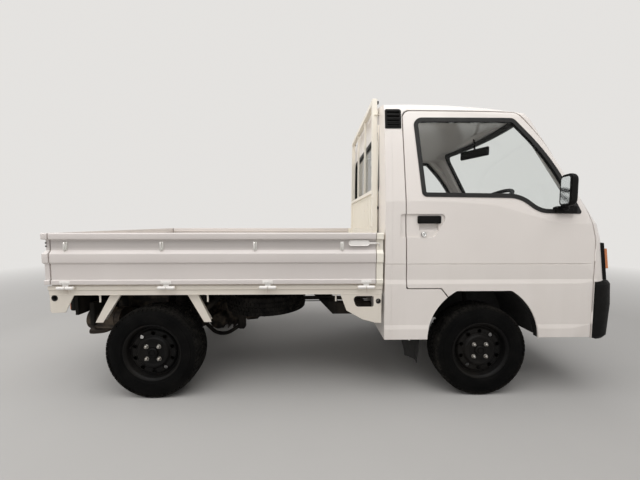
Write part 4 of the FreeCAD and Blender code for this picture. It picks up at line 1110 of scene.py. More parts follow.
def hingeLeaf(length):
    # two barrels and a folded leaf up to the gate, along X with the outside towards +Y
    half = length / 6
    barrels = [rodShape((side * 0.0020, 0, 0), (side * 0.0460, 0, 0), 0.0098, 18, 0.0015) for side in (-1, 1)]
    leaf = boxShape((-half + 0.0008, -0.0025, 0.0), (half - 0.0008, 0.0015, 0.026), 0.0008)
    plate = boxShape((-half - 0.012, 0.0, 0.0205), (half + 0.012, 0.0055, 0.041), 0.0015)
    rivets = [rodShape((x, 0.005, 0.031), (x, 0.0078, 0.031), 0.0036, 12, 0.0012)
        for x in (-0.018, 0.0, 0.018)]
    return joinShapes(barrels + [leaf, plate] + rivets)


def ropeHook():
    # bent steel hook on a small plate, opening downwards, outside towards +Y
    plate = boxShape((-0.010, -0.0005, -0.026), (0.010, 0.0020, 0.022), 0.0008)
    bends = [(0.001, 0.018), (0.008, 0.019), (0.0118, 0.013), (0.0122, -0.002), (0.0120, -0.018),
             (0.0095, -0.024), (0.0060, -0.0255)]
    hook = wireShape([(0, y, z) for y, z in bends], 4, 0.0036, 10)
    rivets = [rodShape((0, 0.0015, z), (0, 0.0042, z), 0.0034, 10, 0.001) for z in (-0.018, 0.009)]
    return joinShapes([plate, hook] + rivets)


def latchShape():
    # pressed lever with a round-ended grip, its hook bar, pin and keeper
    lowX, highX, lowZ, highZ = 0.029, 0.147, 0.8795, 0.9125
    pinZ = 0.8945
    outline = roundPath([(lowX, lowZ), (highX, lowZ), (highX, highZ), (lowX, highZ)], 0.0162, 8)
    centre = Vector(((lowX + highX) / 2, (lowZ + highZ) / 2))
    rings = []
    for y, share in ((0.6836, 1.0), (0.6930, 1.0), (0.6955, 0.97), (0.6960, 0.93), (0.6950, 0.84),
            (0.6925, 0.76)):
        shrunk = [centre + Vector(((p.x - centre.x) * (1 - (1 - share) * 0.3), (p.y - centre.y) * share))
                  for p in outline]
        rings.append([(q.x, y, q.y) for q in shrunk])
    bar = boxShape((0.138, 0.6865, 0.889), (0.186, 0.6915, 0.900), 0.0015)
    pin = rodShape((0.150, 0.6850, pinZ), (0.150, 0.6955, pinZ), 0.0055, 14, 0.0012)
    keeper = [(0.180, 0.689, pinZ), (0.192, 0.690, 0.8950), (0.2015, 0.690, 0.892), (0.203, 0.688, 0.884),
              (0.198, 0.6865, 0.879)]
    return joinShapes([loftRings(rings), bar, pin, wireShape(keeper, 4, 0.0032, 8)])


def makeGates():
    values = bedValues
    half = values["halfWidth"]
    gate = sideGateShape(metres("side_gate_left")[0].x, values["sideFront"])
    hinge = hingeLeaf(values["hingeLength"])
    hingePlaces = [(x, half - values["hingeInset"], values["hingeZ"]) for x in values["hingePlaces"]]
    hookPlaces = [(x, half - 0.014, 0.8815) for x in values["hookPlaces"]]
    hinges = joinShapes([shiftShape(hinge, place) for place in hingePlaces])
    hooks = joinShapes([shiftShape(ropeHook(), place) for place in hookPlaces])
    for side in ("left", "right"):
        sheet = meshPiece(f"gate_{side}_sheet", sided(gate, side), "gateWhite", 28.0)
        hookPiece = meshPiece(f"gate_{side}_ropeHooks", sided(hooks, side), "zinc", 40.0)
        latchPiece = meshPiece(f"gate_{side}_latch", sided(latchShape(), side), "latchWhite")
        hingePiece = meshPiece(f"gate_{side}_hinges", sided(hinges, side), "latchWhite")
        rideAll([sheet, latchPiece, hingePiece, hookPiece], f"{side}_side_gate")
        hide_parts(f"side_gate_{side}")
    rearX = metres("tailgate")[0].x
    turn = turnBy(90.0, "Z")
    shapes = [tailGateShape(rearX)]
    for y in values["tailHinges"]:
        shapes.append(shiftShape(hinge, (rearX + values["hingeInset"], y, values["hingeZ"]), turn))
    # catches and small black bolt heads at both ends of the tailgate, and its two rope hooks
    bolts, hooks = [], []
    for y in (-1, 1):
        catchY = y * 0.655
        shapes.append(boxShape((rearX + 0.0135, catchY - 0.016, 0.874),
            (rearX + 0.0185, catchY + 0.016, 0.908), 0.002))
        for z in (0.898, 0.880):
            bolts.append(rodShape((rearX + 0.019, y * 0.683, z), (rearX + 0.019, y * 0.6865, z), 0.0042, 10,
                0.001))
        bends = [(0.016, -0.05, 0.905), (0.004, -0.046, 0.900), (0.002, 0.0, 0.895), (0.004, 0.046, 0.900),
                 (0.016, 0.05, 0.905)]
        hooks.append(wireShape([(rearX + dx, y * 0.46 + dy, z) for dx, dy, z in bends], 5, 0.004, 8))
    tail = meshPiece("tailgateSheet", joinShapes(shapes), "gateWhite", 28.0)
    hookPiece = meshPiece("tailgateHooks", joinShapes(hooks), "zinc", 40.0)
    boltPiece = meshPiece("tailgateBolts", joinShapes(bolts), "chassisBlack")
    rideAll([tail, hookPiece], "tailgate")
    rideAll([boltPiece], "tailgate")
    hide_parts("tailgate")
    print("gates ready")


def swage(halfWide, height, slope, corner):
    # outline of a pressed rib, flat side down
    outline = [(-halfWide, 0.0), (-slope, height), (slope, height), (halfWide, 0.0)]
    return roundPath(outline, corner, 3)


def bothSides(shapes):
    return joinShapes(shapes + [mirrorShape(shape) for shape in shapes])


def makeBedDetails():
    values = bedValues
    # pressed ribs along the deck
    rib = extrudePath(swage(0.022, 0.0030, 0.014, 0.004), *values["deckRibEnds"], "x")
    pitch = values["deckRibPitch"]
    start = (0.0, -pitch * (values["deckRibs"] - 1) / 2, values["deckTop"] - 0.0005)
    ribs = repeatShape(rib, values["deckRibs"], start=start, step=(0.0, pitch, 0.0))
    deck = meshPiece("deckRibs", ribs, "deckCream", 40.0)
    # pegs for ropes under the sill
    hook = wireShape([(0, 0, 0.004), (0, 0, -0.018), (0, 0.0005, -0.036), (0, 0.003, -0.043)], 4, 0.0046, 12)
    peg = joinShapes([hook, rodShape((0, 0, 0.0), (0, 0, -0.005), 0.009, 14, 0.001)])
    pegs = joinShapes([shiftShape(peg, (x, 0.6715, 0.6075)) for x in values["pegPlaces"]])
    pegPiece = meshPiece("ropePegs", bothSides([pegs]), "deckCream", 40.0)
    # turned lip along the sill
    outline = roundPath([(0.6700, 0.6050), (0.6792, 0.6050), (0.6792, 0.6100), (0.6700, 0.6100)], 0.0012, 2)
    lipPiece = meshPiece("sillLip", bothSides([extrudePath(outline, *values["sillEnds"], "x")]), "frameCream")
    rideAll([deck, pegPiece, lipPiece], "truck")
    # rubber grommets lining the rope holes, the rear pair closed at the inner end
    plates = nodes["bed_brackets"]
    rims = [plates.matrix_world @ vertex.co for vertex in plates.data.vertices]
    grommets = []
    for x, z, radius, closed in values["ropeHoles"]:
        face = max(rim.y for rim in rims if math.hypot(rim.x - x, rim.z - z) < radius + 0.001)
        deep = face - 0.024
        inner = radius - 0.0015
        outer = radius - 0.0002
        lip = [(deep, outer), (face, outer), (face + 0.0002, radius + 0.0035),
               (face + 0.0020, radius + 0.0030), (face + 0.0024, inner + 0.0006),
               (face + 0.0012, inner), (deep, inner)]
        grommets.append(shiftShape(latheShape(lip, 32, closed=True), (x, 0.0, z)))
        if closed:
            grommets.append(rodShape((x, deep, z), (x, deep + 0.003, z), inner, 24, 0.0005))
    rideAll([meshPiece("ropeGrommets", bothSides(grommets), "flapRubber")], "truck")
    print("bed details ready")


guardValues = {
    "panelX": 0.207,
    "panelZ": (0.962, 1.180),
    "ribs": 17,
    "ribPitch": 0.056,
    "headboardX": 0.2053,
    "swageHeights": [0.735, 0.815, 0.895],
    "bufferZ": 1.742,
    "lowBufferZ": 1.10,
}


def makeGuardDetails():
    values = guardValues
    # upright ribs pressed in the lower panel, and level swages across the headboard
    points, faces = extrudePath(swage(0.0085, 0.0042, 0.0045, 0.0025), *values["panelZ"], "z")
    rib = [(values["panelX"] - p[1] + 0.0003, p[0], p[2]) for p in points], faces
    start = (0.0, -values["ribPitch"] * (values["ribs"] - 1) / 2, 0.0)
    ribs = repeatShape(rib, values["ribs"], start=start, step=(0.0, values["ribPitch"], 0.0))
    ribPiece = meshPiece("guardPanelRibs", ribs, "guardCream", 40.0)
    points, faces = extrudePath(swage(0.020, 0.0045, 0.012, 0.004), -0.62, 0.62, "y")
    swages = []
    for z in values["swageHeights"]:
        swages.append(([(values["headboardX"] - p[2], p[1], z + p[0]) for p in points], faces))
    barPiece = meshPiece("headboardSwages", joinShapes(swages), "guardCream", 40.0)
    # rubber buffers, small brackets, bolts and a thin strip on the uprights
    small, steel = [], []
    for side in (-1, 1):
        for y, z in ((side * 0.476, values["bufferZ"]), (side * 0.505, values["lowBufferZ"])):
            small.append(rodShape((0.2245, y, z), (0.2335, y, z), 0.0105, 16, 0.002))
        y = side * 0.484
        steel.append(boxShape((0.206, y - 0.010, 1.664), (0.2345, y + 0.010, 1.668), 0.001))
        steel.append(boxShape((0.222, y - 0.010, 1.650), (0.2255, y + 0.010, 1.690), 0.001))
        steel.append(rodShape((0.222, y, 1.682), (0.229, y, 1.682), 0.005, 6, 0.001))
        for z in (0.985, 1.165):
            steel.append(rodShape((0.1905, side * 0.5015, z), (0.1985, side * 0.5015, z), 0.0065, 6, 0.0012))
        y = side * 0.500
        steel.append(boxShape((0.2252, y - 0.0015, 0.955), (0.2325, y + 0.0015, 1.60), 0.0007))
    bufferPiece = meshPiece("guardBuffers", joinShapes(small), "flapRubber")
    fixings = meshPiece("guardFixings", joinShapes(steel), "guardCream")
    rideAll([ribPiece, barPiece, fixings], "truck")
    rideAll([bufferPiece], "truck")
    print("guard frame ready")


makeGates()
makeBedDetails()
makeGuardDetails()


# ---- cab outside

cabValues = {
    "axleX": 0.802,
    "archCentreZ": 0.344,
    "archRadius": 0.320,
    "archTop": 0.623,
    "archLip": 0.0042,
    "doorEdgeX": 0.592,
    "sideSkinY": 0.686,
    "ventSlots": 4,
    "ventX": (0.250, 0.320),
    "ventMiddleZ": 1.593,
    "ventPitch": 0.0215,
    "ventTilt": 38.0,
    "lockPlace": (0.450, 0.943),
    "gripPlace": (0.480, 1.025),
    "gripEnds": (0.430, 0.528),
}

mirrorValues = {
    "centre": (1.180, 0.752, 1.181),
    "turn": 15.0,
    "wide": 0.108,
    "tall": 0.170,
    # inset, depth and corner radius of each ring
    "frame": [(0.006, 0.002, 0.022), (0.006, -0.003, 0.022), (0.009, -0.0045, 0.020), (0.013, -0.003, 0.017),
              (0.013, 0.001, 0.017)],
    "glass": [(0.0135, -0.0008, 0.0165), (0.0135, -0.0024, 0.0165)],
    # depth, share of the size and corner radius
    "shell": [(0.002, 1.0, 0.030), (0.014, 1.0, 0.032), (0.024, 0.97, 0.034), (0.030, 0.90, 0.032),
              (0.0338, 0.72, 0.028), (0.0345, 0.4, 0.02)],
}


def archPath(radius, topZ, steps=14):
    # from the rear foot of the arch, over its flat top, to the front foot, as (x, z)
    values = cabValues
    rise = topZ - values["archCentreZ"]
    reach = math.sqrt(radius ** 2 - rise ** 2)
    start = math.atan2(rise, reach)
    curve = [Vector((-radius, -0.001))]
    for k in range(steps + 1):
        a = start * k / steps
        curve.append(Vector((-radius * math.cos(a), radius * math.sin(a))))
    top = [Vector((-reach + 2 * reach * k / 6, rise)) for k in range(1, 6)]
    path = curve + top + [Vector((-p.x, p.y)) for p in reversed(curve)]
    return [Vector((p.x + values["axleX"], p.y + values["archCentreZ"])) for p in path]


def surfaceFinder(names):
    # finds the first point of the named pieces met along a line
    trees = [BVHTree.FromPolygons(*shapeOf(nodes[name].data)) for name in names]

    def find(start, direction, reach=2.0):
        best = None
        for tree in trees:
            place, normal, index, distance = tree.ray_cast(Vector(start), Vector(direction), reach)
            if place is not None and (best is None or distance < best[1]):
                best = (place, distance)
        return best and best[0]
    return find


def fromRight(find, x, z):
    return find((x, -1.0, z), (0, 1, 0))


def fromAhead(find, y, z):
    return find((2.2, y, z), (-1, 0, 0))


def fromSeat(find, y, z):
    return find((1.0, y, z), (1, 0, 0))


def makeArchTrim():
    # rolled edge round the wheel arch, split where the door opens
    values = cabValues
    find = surfaceFinder(["door_right", "cab_side_panels", "cab_front_panel", "cab_rear_panel"])
    route = {"door": [], "body": []}
    for p in archPath(values["archRadius"], values["archTop"]):
        outward = Vector((p.x - values["axleX"], p.y - values["archCentreZ"])).normalized()
        skin = fromRight(find, p.x + outward.x * 0.004, p.y + outward.y * 0.004)
        y = skin.y if skin else -values["sideSkinY"]
        where = "door" if p.x > values["doorEdgeX"] else "body"
        route[where].append(Vector((p.x + outward.x * 0.0015, y + 0.0012, p.y + outward.y * 0.0015)))
    for where, points in route.items():
        lip = wireShape(points, 3, values["archLip"] / 2, 8)
        for side in ("left", "right"):
            piece = meshPiece(f"archLip_{where}_{side}", sided(lip, side, "right"), "cabWhite", 50.0)
            rideAll([piece], f"{side}_door" if where == "door" else "truck")


def makeDoorMirrors():
    # glass in a raised frame, in a rounded shell on an arm and a foot that follows the door
    values = mirrorValues
    halfWide, halfTall = values["wide"] / 2, values["tall"] / 2
    centre = Vector(values["centre"])
    turn = turnBy(values["turn"], "Z")

    def face(wide, tall, depth, corner):
        path = roundPath([(-wide, -tall), (wide, -tall), (wide, tall), (-wide, tall)], corner, 8)
        return [Vector((depth, p.x, p.y)) for p in path]

    def insetFace(inset, depth, corner):
        return face(halfWide - inset, halfTall - inset, depth, corner)
    frameShape = shiftShape(loftRings([insetFace(*ring) for ring in values["frame"]]), centre, turn)
    glassShape = shiftShape(loftRings([insetFace(*ring) for ring in values["glass"]]), centre, turn)
    rings = [insetFace(0.010, 0.0, 0.024)]
    for depth, share, corner in values["shell"]:
        tall = halfTall * (1 - (1 - share) * 0.7)
        rings.append(face(halfWide * share, tall, depth, corner * min(1.0, share + 0.1)))
    shell = shiftShape(loftRings(rings), centre, turn)
    armFoot = [(1.212, 0.722, 1.092), (1.232, 0.700, 1.080), (1.245, 0.690, 1.074)]
    arm = wireShape([centre + Vector((0.020, -0.012, -0.075))] + armFoot, 6, 0.0125, 14)
    collar = rodShape((1.206, 0.727, 1.096), (1.213, 0.722, 1.084), 0.017, 18, 0.003)
    footPath = roundPath([(1.186, 1.060), (1.296, 1.060), (1.2965, 1.099), (1.205, 1.1015), (1.186, 1.094)],
        0.006, 5)
    foot = extrudePath(footPath, 0.668, 0.7030, "y")
    screw = rodShape((1.270, 0.7025, 1.080), (1.270, 0.7042, 1.080), 0.006, 14, 0.001)
    housing = joinShapes([shell, arm, collar, foot, screw])
    for side in ("left", "right"):
        housingPiece = meshPiece(f"mirrorHousing_{side}", sided(housing, side), "trimBlack", 50.0)
        framePiece = meshPiece(f"mirrorFrame_{side}", sided(frameShape, side), "trimBlack", 50.0)
        glassPiece = meshPiece(f"mirrorGlass_{side}", sided(glassShape, side), "mirrorFace", 20.0)
        rideAll([housingPiece, framePiece, glassPiece], f"{side}_door")
        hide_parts(f"door_mirror_{side}")


def makeVents():
    # slanted blades behind a frame, one set a side
    values = cabValues
    lowX, highX = values["ventX"]
    find = surfaceFinder(["cab_vents"])
    blade = shiftShape(boxShape((lowX, -0.0035, -0.0035), (highX, 0.0040, 0.0035), 0.0015),
                       turn=turnBy(values["ventTilt"], "X"))
    shapes = []
    for i in range(values["ventSlots"] + 1):
        z = values["ventMiddleZ"] + (i - values["ventSlots"] / 2) * values["ventPitch"]
        shapes.append(shiftShape(blade, (0, fromRight(find, lowX - 0.007, z).y + 0.001, z)))
    for side in ("left", "right"):
        piece = meshPiece(f"ventBlades_{side}", sided(joinShapes(shapes), side, "right"), "trimBlack", 40.0)
        rideAll([piece], "truck")


def makeHandles():
    # key cylinder with a bright face, and ribs on the pull
    values = cabValues
    find = surfaceFinder(["door_handle_right", "door_right"])
    x, z = values["lockPlace"]
    at = (x, fromRight(find, x, z).y, z)
    ring = latheShape([(0.004, 0.0), (0.004, 0.0130), (-0.0008, 0.0132), (-0.0022, 0.0118), (-0.0016, 0.0095),
                       (-0.0004, 0.0088), (-0.0004, 0.0)], 28)
    slot = boxShape((-0.0012, -0.0012, -0.0055), (0.0012, 0.002, 0.0055), 0.0004)
    lowX, highX = values["gripEnds"]
    gripY = fromRight(find, *values["gripPlace"]).y
    rib = boxShape((lowX, -0.0006, -0.0012), (highX, 0.002, 0.0012), 0.0005)
    ribs = repeatShape(rib, 4, start=(0.0, gripY, 1.011), step=(0.0, 0.0, 0.0065))
    for side in ("left", "right"):
        ringPiece = meshPiece(f"keyRing_{side}", sided(shiftShape(ring, at), side, "right"), "chrome", 40.0)
        slotPiece = meshPiece(f"keySlot_{side}", sided(shiftShape(slot, at), side, "right"), "trimBlack",
            40.0)
        ribPiece = meshPiece(f"handleRibs_{side}", sided(ribs, side, "right"), "trimBlack", 40.0)
        rideAll([ringPiece, slotPiece, ribPiece], f"{side}_door")


def archMask(tree):
    # 1 on faces cut by the wheel arch, inside the outer skin
    values = cabValues
    x, y, z = splitPlace(tree)
    dx = combine(tree, "SUBTRACT", x, values["axleX"])
    dz = combine(tree, "SUBTRACT", z, values["archCentreZ"])
    radius = combine(tree, "SQRT", combine(tree, "ADD", times(tree, dx, dx), times(tree, dz, dz)))
    inside = combine(tree, "LESS_THAN", radius, values["archRadius"] + 0.018)
    below = combine(tree, "LESS_THAN", z, values["archTop"] + 0.012)
    within = combine(tree, "LESS_THAN", combine(tree, "ABSOLUTE", y), values["sideSkinY"] - 0.006)
    return times(tree, inside, below, within)


def blackenArches():
    # underseal on the inside of the arches and below the floor
    for finishName in ("cabWhite", "cabFloorGrey"):
        tree = finishes[finishName].node_tree
        shader = tree.nodes["Principled BSDF"]
        tone = shader.inputs["Base Color"].links[0].from_socket
        amount = archMask(tree)
        if finishName == "cabFloorGrey":
            under = spread(tree, height(tree), 0.440, 0.446, 1.0, 0.0)
            amount = combine(tree, "MAXIMUM", amount, under)
        speckle = spread(tree, noise(tree, 120.0, 4.0), 0.3, 0.7)
        underseal = blendColours(tree, speckle, (0.006, 0.0058, 0.0055), (0.016, 0.015, 0.014))
        feed(tree, blendColours(tree, amount, tone, underseal), shader, "Base Color")


makeArchTrim()
makeDoorMirrors()
makeVents()
makeHandles()
blackenArches()
print("cab outside ready")


# ---- cab inside

seatValues = {
    "cushionX": (0.480, 0.960),
    "cushionZ": (0.675, 0.800),
    "backFoot": 0.690,
    "backTop": 1.302,
    "sideY": (0.075, 0.570),
    "pressure": 4.0,
    "voxel": 0.006,
    "cap": 0.012,
    "frames": 20,
    # share along the width, pulled in by
    "sections": [(0.0, 0.018), (0.012, 0.008), (0.035, 0.0), (0.5, 0.0), (0.965, 0.0), (0.988, 0.008),
    (1.0, 0.018)],
    "channelY": 0.150,
    "cushionSeams": [0.60, 0.70, 0.80],
    "backSeams": [0.86, 0.97, 1.08],
    "reachX": (0.290, 0.960),
    "highest": 1.308,
}


def puff(mesh, values):
    # swells a closed mesh with cloth pressure, then holds each point within a cap
    piece = link("swellingPad", mesh)
    remesh = piece.modifiers.new("voxels", "REMESH")
    remesh.mode = "VOXEL"
    remesh.voxel_size = values["voxel"]
    dense = solvedMesh(piece)
    piece.modifiers.clear()
    piece.data = dense
    start = [v.co.copy() for v in dense.vertices]
    cloth = piece.modifiers.new("stuffing", "CLOTH")
    settings = cloth.settings
    settings.quality = 3
    settings.mass = 0.3
    settings.use_pressure = True
    settings.uniform_pressure_force = values["pressure"]
    settings.effector_weights.gravity = 0.0
    settings.tension_stiffness = 12.0
    cloth.point_cache.frame_start = 1
    cloth.point_cache.frame_end = values["frames"]
    for step in range(1, values["frames"] + 1):
        scene.frame_set(step)
    solved = piece.evaluated_get(bpy.context.evaluated_depsgraph_get())
    ends = [v.co.copy() for v in solved.to_mesh().vertices]
    solved.to_mesh_clear()
    piece.modifiers.clear()
    for vertex, before, after in zip(dense.vertices, start, ends):
        move = after - before
        if move.length > values["cap"]:
            move.length = values["cap"]
        vertex.co = before + move
    scene.frame_set(1)
    bpy.data.objects.remove(piece)
    return dense


def shrinkPath(path, amount):
    # pulls a closed outline in towards its middle
    middle = sum(path, Vector((0, 0))) / len(path)
    shrunk = []
    for p in path:
        away = p - middle
        shrunk.append(middle + away * (1 - amount / max(away.length, 1e-6)))
    return shrunk


def seatOutlines():
    # cushion and back seen from the side, as (x, z)
    values = seatValues
    lowX, highX = values["cushionX"]
    lowZ, highZ = values["cushionZ"]
    foot, top = values["backFoot"], values["backTop"]
    cushion = [(lowX + 0.012, lowZ + 0.004), (highX - 0.012, lowZ + 0.004), (highX - 0.006, highZ - 0.030),
               (highX - 0.040, highZ - 0.014), (lowX + 0.012, highZ - 0.024)]
    back = [(0.462, foot), (0.450, 0.850), (0.420, 0.985), (0.349, top - 0.012), (0.300, top - 0.010),
        (0.334, foot)]
    return {"cushion": roundPath(cushion, 0.022, 5), "back": roundPath(back, 0.020, 5)}


def held(value, low=0.0, high=1.0):
    return min(max(value, low), high)


def groove(distance):
    return math.exp(-(distance / 0.006) ** 2)


def sewPad(name, mesh):
    # channels pressed into the swollen skin after the simulation
    values = seatValues
    lowY, highY = values["sideY"]
    lowX, highX = values["cushionX"]
    lowZ, highZ = values["cushionZ"]
    channel = values["channelY"]
    limits = (values["reachX"], (lowY + 0.002, highY - 0.002), (lowZ + 0.0005, values["highest"]))
    for vertex in mesh.vertices:
        p = vertex.co
        across = abs(p.y - (lowY + highY) / 2)
        if name == "cushion":
            face = held((p.z - highZ + 0.045) / 0.02)
            if lowX + 0.06 < p.x < highX - 0.05:
                p.z -= 0.007 * face * groove(across - channel)
            if across < channel:
                for x in values["cushionSeams"]:
                    p.z -= 0.005 * face * groove(p.x - x)
            p.z += 0.006 * face * held((across - channel - 0.005) / 0.05)
        else:
            frontX = 0.462 - (p.z - values["backFoot"]) * 0.19
            face = held((p.x - frontX + 0.045) / 0.03)
            if 0.75 < p.z < 1.18:
                p.x -= 0.007 * face * groove(across - channel)
            if across < channel:
                for z in values["backSeams"]:
                    p.x -= 0.005 * face * groove(p.z - z)
        for axis, (low, high) in enumerate(limits):
            p[axis] = held(p[axis], low, high)


def makeSeats():
    values = seatValues
    lowY, highY = values["sideY"]
    highX = values["cushionX"][1]
    highZ = values["cushionZ"][1]
    pads = {}
    for name, outline in seatOutlines().items():
        rings = []
        for share, pull in values["sections"]:
            y = lowY + 0.008 + (highY - lowY - 0.016) * share
            rings.append([Vector((p.x, y, p.y)) for p in shrinkPath(outline, pull)])
        pads[name] = puff(meshOf(name, loftRings(rings), "seatCloth", 60.0), values)
    for name, mesh in pads.items():
        sewPad(name, mesh)
        for side in ("left", "right"):
            copy = mesh.copy()
            if side == "right":
                copy.transform(Matrix.Scale(-1.0, 4, (0, 1, 0)))
                copy.flip_normals()
            copy.materials.clear()
            copy.materials.append(finishes["seatCloth"])
            for face in copy.polygons:
                face.use_smooth = True
            piece = link(f"seat_{name}_{side}", copy)
            subdivide = piece.modifiers.new("soft", "SUBSURF")
            subdivide.levels = 1
            subdivide.render_levels = 1
            rideAll([piece], "truck")
            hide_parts("seat_cushions" if name == "cushion" else "seat_backs")
    # piping along each cushion's front edge, and the tray under it
    shapes = []
    for side in (1.0, -1.0):
        route = []
        for k in range(13):
            y = lowY + 0.02 + (highY - lowY - 0.04) * k / 12
            route.append(Vector((highX - 0.012, side * y,
                highZ - 0.020 - 0.004 * math.cos(k / 12 * math.tau))))
        shapes.append(tubeShape(route, 0.0028, 6))
        middle = side * 0.320
        shapes.append(boxShape((0.500, middle - 0.200, 0.6752), (0.930, middle + 0.200, 0.6905), 0.004))
    rideAll([meshPiece("seatPiping", joinShapes(shapes), "trimBlack", 40.0)], "truck")
    print("seats ready")


insideValues = {
    "wheelCentre": (0.978, -0.335, 1.132),
    "wheelRadius": 0.185,
    "wheelTilt": 30.0,
    "rimRadius": 0.0125,
    # distance from the middle, height
    "spokeBends": [(0.045, -0.026), (0.105, -0.020), (0.150, -0.008), (0.183, 0.0)],
    "spokeAngles": [62.0, -62.0, 180.0],
    "hoodX": 1.250,
    "hoodY": (-0.480, -0.190),
    "airVents": [-0.520, -0.060, 0.060, 0.520],
    "airVentZ": 0.985,
    "panelZ": 0.885,
    "gloveBoxY": 0.34,
    "pedals": [(-0.250, 0.052), (-0.350, 0.060), (-0.450, 0.040)],
}


def makeSteeringWheel():
    values = insideValues
    radius, thick = values["wheelRadius"], values["rimRadius"]
    ring = [(radius * math.cos(a), radius * math.sin(a), 0.0) for a in circle(64)]
    shapes = [tubeShape(ring, thick, 14, closed=True)]
    hubPath = roundPath([(-0.062, -0.045), (0.062, -0.060), (0.062, 0.060), (-0.062, 0.045)], 0.022, 6)
    shapes.append(extrudePath(hubPath, -0.040, -0.012, "z"))
    shapes.append(extrudePath([p * 0.86 for p in hubPath], -0.013, -0.006, "z"))
    for angle in values["spokeAngles"]:
        outward = Vector((math.cos(math.radians(angle)), math.sin(math.radians(angle)), 0.0))
        bends = [outward * away + Vector((0, 0, z)) for away, z in values["spokeBends"]]
        shapes.append(wireShape(bends, 5, 0.0105, 10))
    # finger grips inside the rim
    grip = boxShape((-0.0012, -0.004, -0.0012), (0.0012, 0.004, 0.0012), 0.0005)
    for a in circle(40):
        place = Vector((math.cos(a), math.sin(a), 0.0)) * (radius - thick - 0.0002)
        shapes.append(shiftShape(grip, place, Matrix.Rotation(a, 3, "Z")))
    shape = shiftShape(joinShapes(shapes), Vector(values["wheelCentre"]), turnBy(-values["wheelTilt"], "Y"))
    rideAll([meshPiece("steeringRim", shape, "dashGrey", 50.0)], "steering_wheel")


def makeDash():
    # instrument hood, air vents, heater plate with knobs and a lidded box stand on the dashboard
    values = insideValues
    find = surfaceFinder(["dashboard"])
    shapes, dark = [], []
    topZ = find((values["hoodX"], values["wheelCentre"][1], 1.6), (0, 0, -1)).z
    hoodPath = [(1.216, topZ - 0.030), (1.216, topZ + 0.030), (1.300, topZ + 0.030), (1.352, topZ - 0.012),
                (1.352, topZ - 0.030)]
    shapes.append(extrudePath(roundPath(hoodPath, 0.014, 6), *values["hoodY"], "y"))
    for y in values["airVents"]:
        x = fromSeat(find, y, values["airVentZ"]).x
        shapes.append(boxShape((x - 0.007, y - 0.046, 0.955), (x + 0.004, y + 0.046, 1.012), 0.004))
        for k in range(4):
            z = 0.966 + 0.0115 * k
            dark.append(boxShape((x - 0.0095, y - 0.039, z), (x - 0.0065, y + 0.039, z + 0.004), 0.001))
    z = values["panelZ"]
    x = fromSeat(find, 0.0, z).x
    shapes.append(boxShape((x - 0.006, -0.095, z - 0.030), (x + 0.004, 0.095, z + 0.030), 0.004))
    knob = latheShape([(0.0, 0.0), (0.0, 0.013), (0.008, 0.0125), (0.016, 0.010), (0.017, 0.0)], 20)
    for y in (-0.075, 0.075):
        shapes.append(shiftShape(knob, (x - 0.004, y, z), turnBy(90.0, "Z")))
    x = fromSeat(find, values["gloveBoxY"], z).x
    shapes.append(boxShape((x - 0.0035, 0.185, 0.845), (x + 0.004, 0.500, 0.935), 0.006))
    dark.append(boxShape((x - 0.0085, 0.315, 0.920), (x - 0.002, 0.370, 0.930), 0.002))
    piece = meshPiece("dashParts", joinShapes(shapes), "dashGrey", 45.0)
    vanes = meshPiece("dashVanes", joinShapes(dark), "trimBlack", 45.0)
    controls = meshPiece("driverControls", joinShapes(controlShapes()), "trimBlack", 50.0)
    rideAll([piece, vanes, controls], "truck")


def latheAt(profile, place, segments):
    # profile of (height, radius), turned about an upright axis
    return shiftShape(latheShape(profile, segments), place, turnBy(90.0, "X"))


def controlShapes():
    # gear lever with a boot and a knob, parking brake and three pedals
    boot = [(0.0, 0.0), (0.0, 0.060), (0.014, 0.056), (0.030, 0.034), (0.052, 0.024), (0.070, 0.012),
        (0.070, 0.0)]
    lever = [(1.020, 0.0, 0.720), (1.022, 0.0, 0.800), (1.012, -0.006, 0.885)]
    knob = [(0.0, 0.0), (0.002, 0.012), (0.014, 0.021), (0.032, 0.0215), (0.044, 0.012), (0.047, 0.0)]
    brake = [(0.930, 0.028, 0.690), (0.985, 0.028, 0.716), (1.060, 0.028, 0.742)]
    shapes = [
        latheAt(boot, (1.020, 0.0, 0.676), 24),
        wireShape(lever, 5, 0.0065, 10),
        latheAt(knob, (1.012, -0.006, 0.880), 20),
        wireShape(brake, 5, 0.009, 10),
    ]
    for y, wide in insideValues["pedals"]:
        shapes.append(wireShape([(1.420, y, 0.760), (1.400, y, 0.660), (1.350, y, 0.585)], 5, 0.006, 8))
        pad = boxShape((-0.006, -wide / 2, -0.034), (0.004, wide / 2, 0.034), 0.003)
        shapes.append(shiftShape(pad, (1.345, y, 0.580), turnBy(30.0, "Y")))
    return shapes


makeSeats()
makeSteeringWheel()
makeDash()
print("cab inside ready")


# ---- front face

frontValues = {
    "wiperPivots": [(-0.400, 0.020), (0.060, 0.480)],
    "wiperReach": 0.400,
    "bladeZ": 1.066,
    "lensGrid": 18,
    "lensRanges": ((0.3510, 0.5240), (0.6910, 0.8690)),
    # rows, top or foot row, pitch and places across
    "cowlSlots": (3, 0.955, -0.012, [-0.264 + 0.048 * k for k in range(12)]),
    "bumperRibs": (4, 0.575, 0.018, [-0.36 + 0.036 * k for k in range(21)]),
    "plateSize": (0.330, 0.165),
    "plateZ": 0.470,
    "plateBolts": [-0.105, 0.105],
}


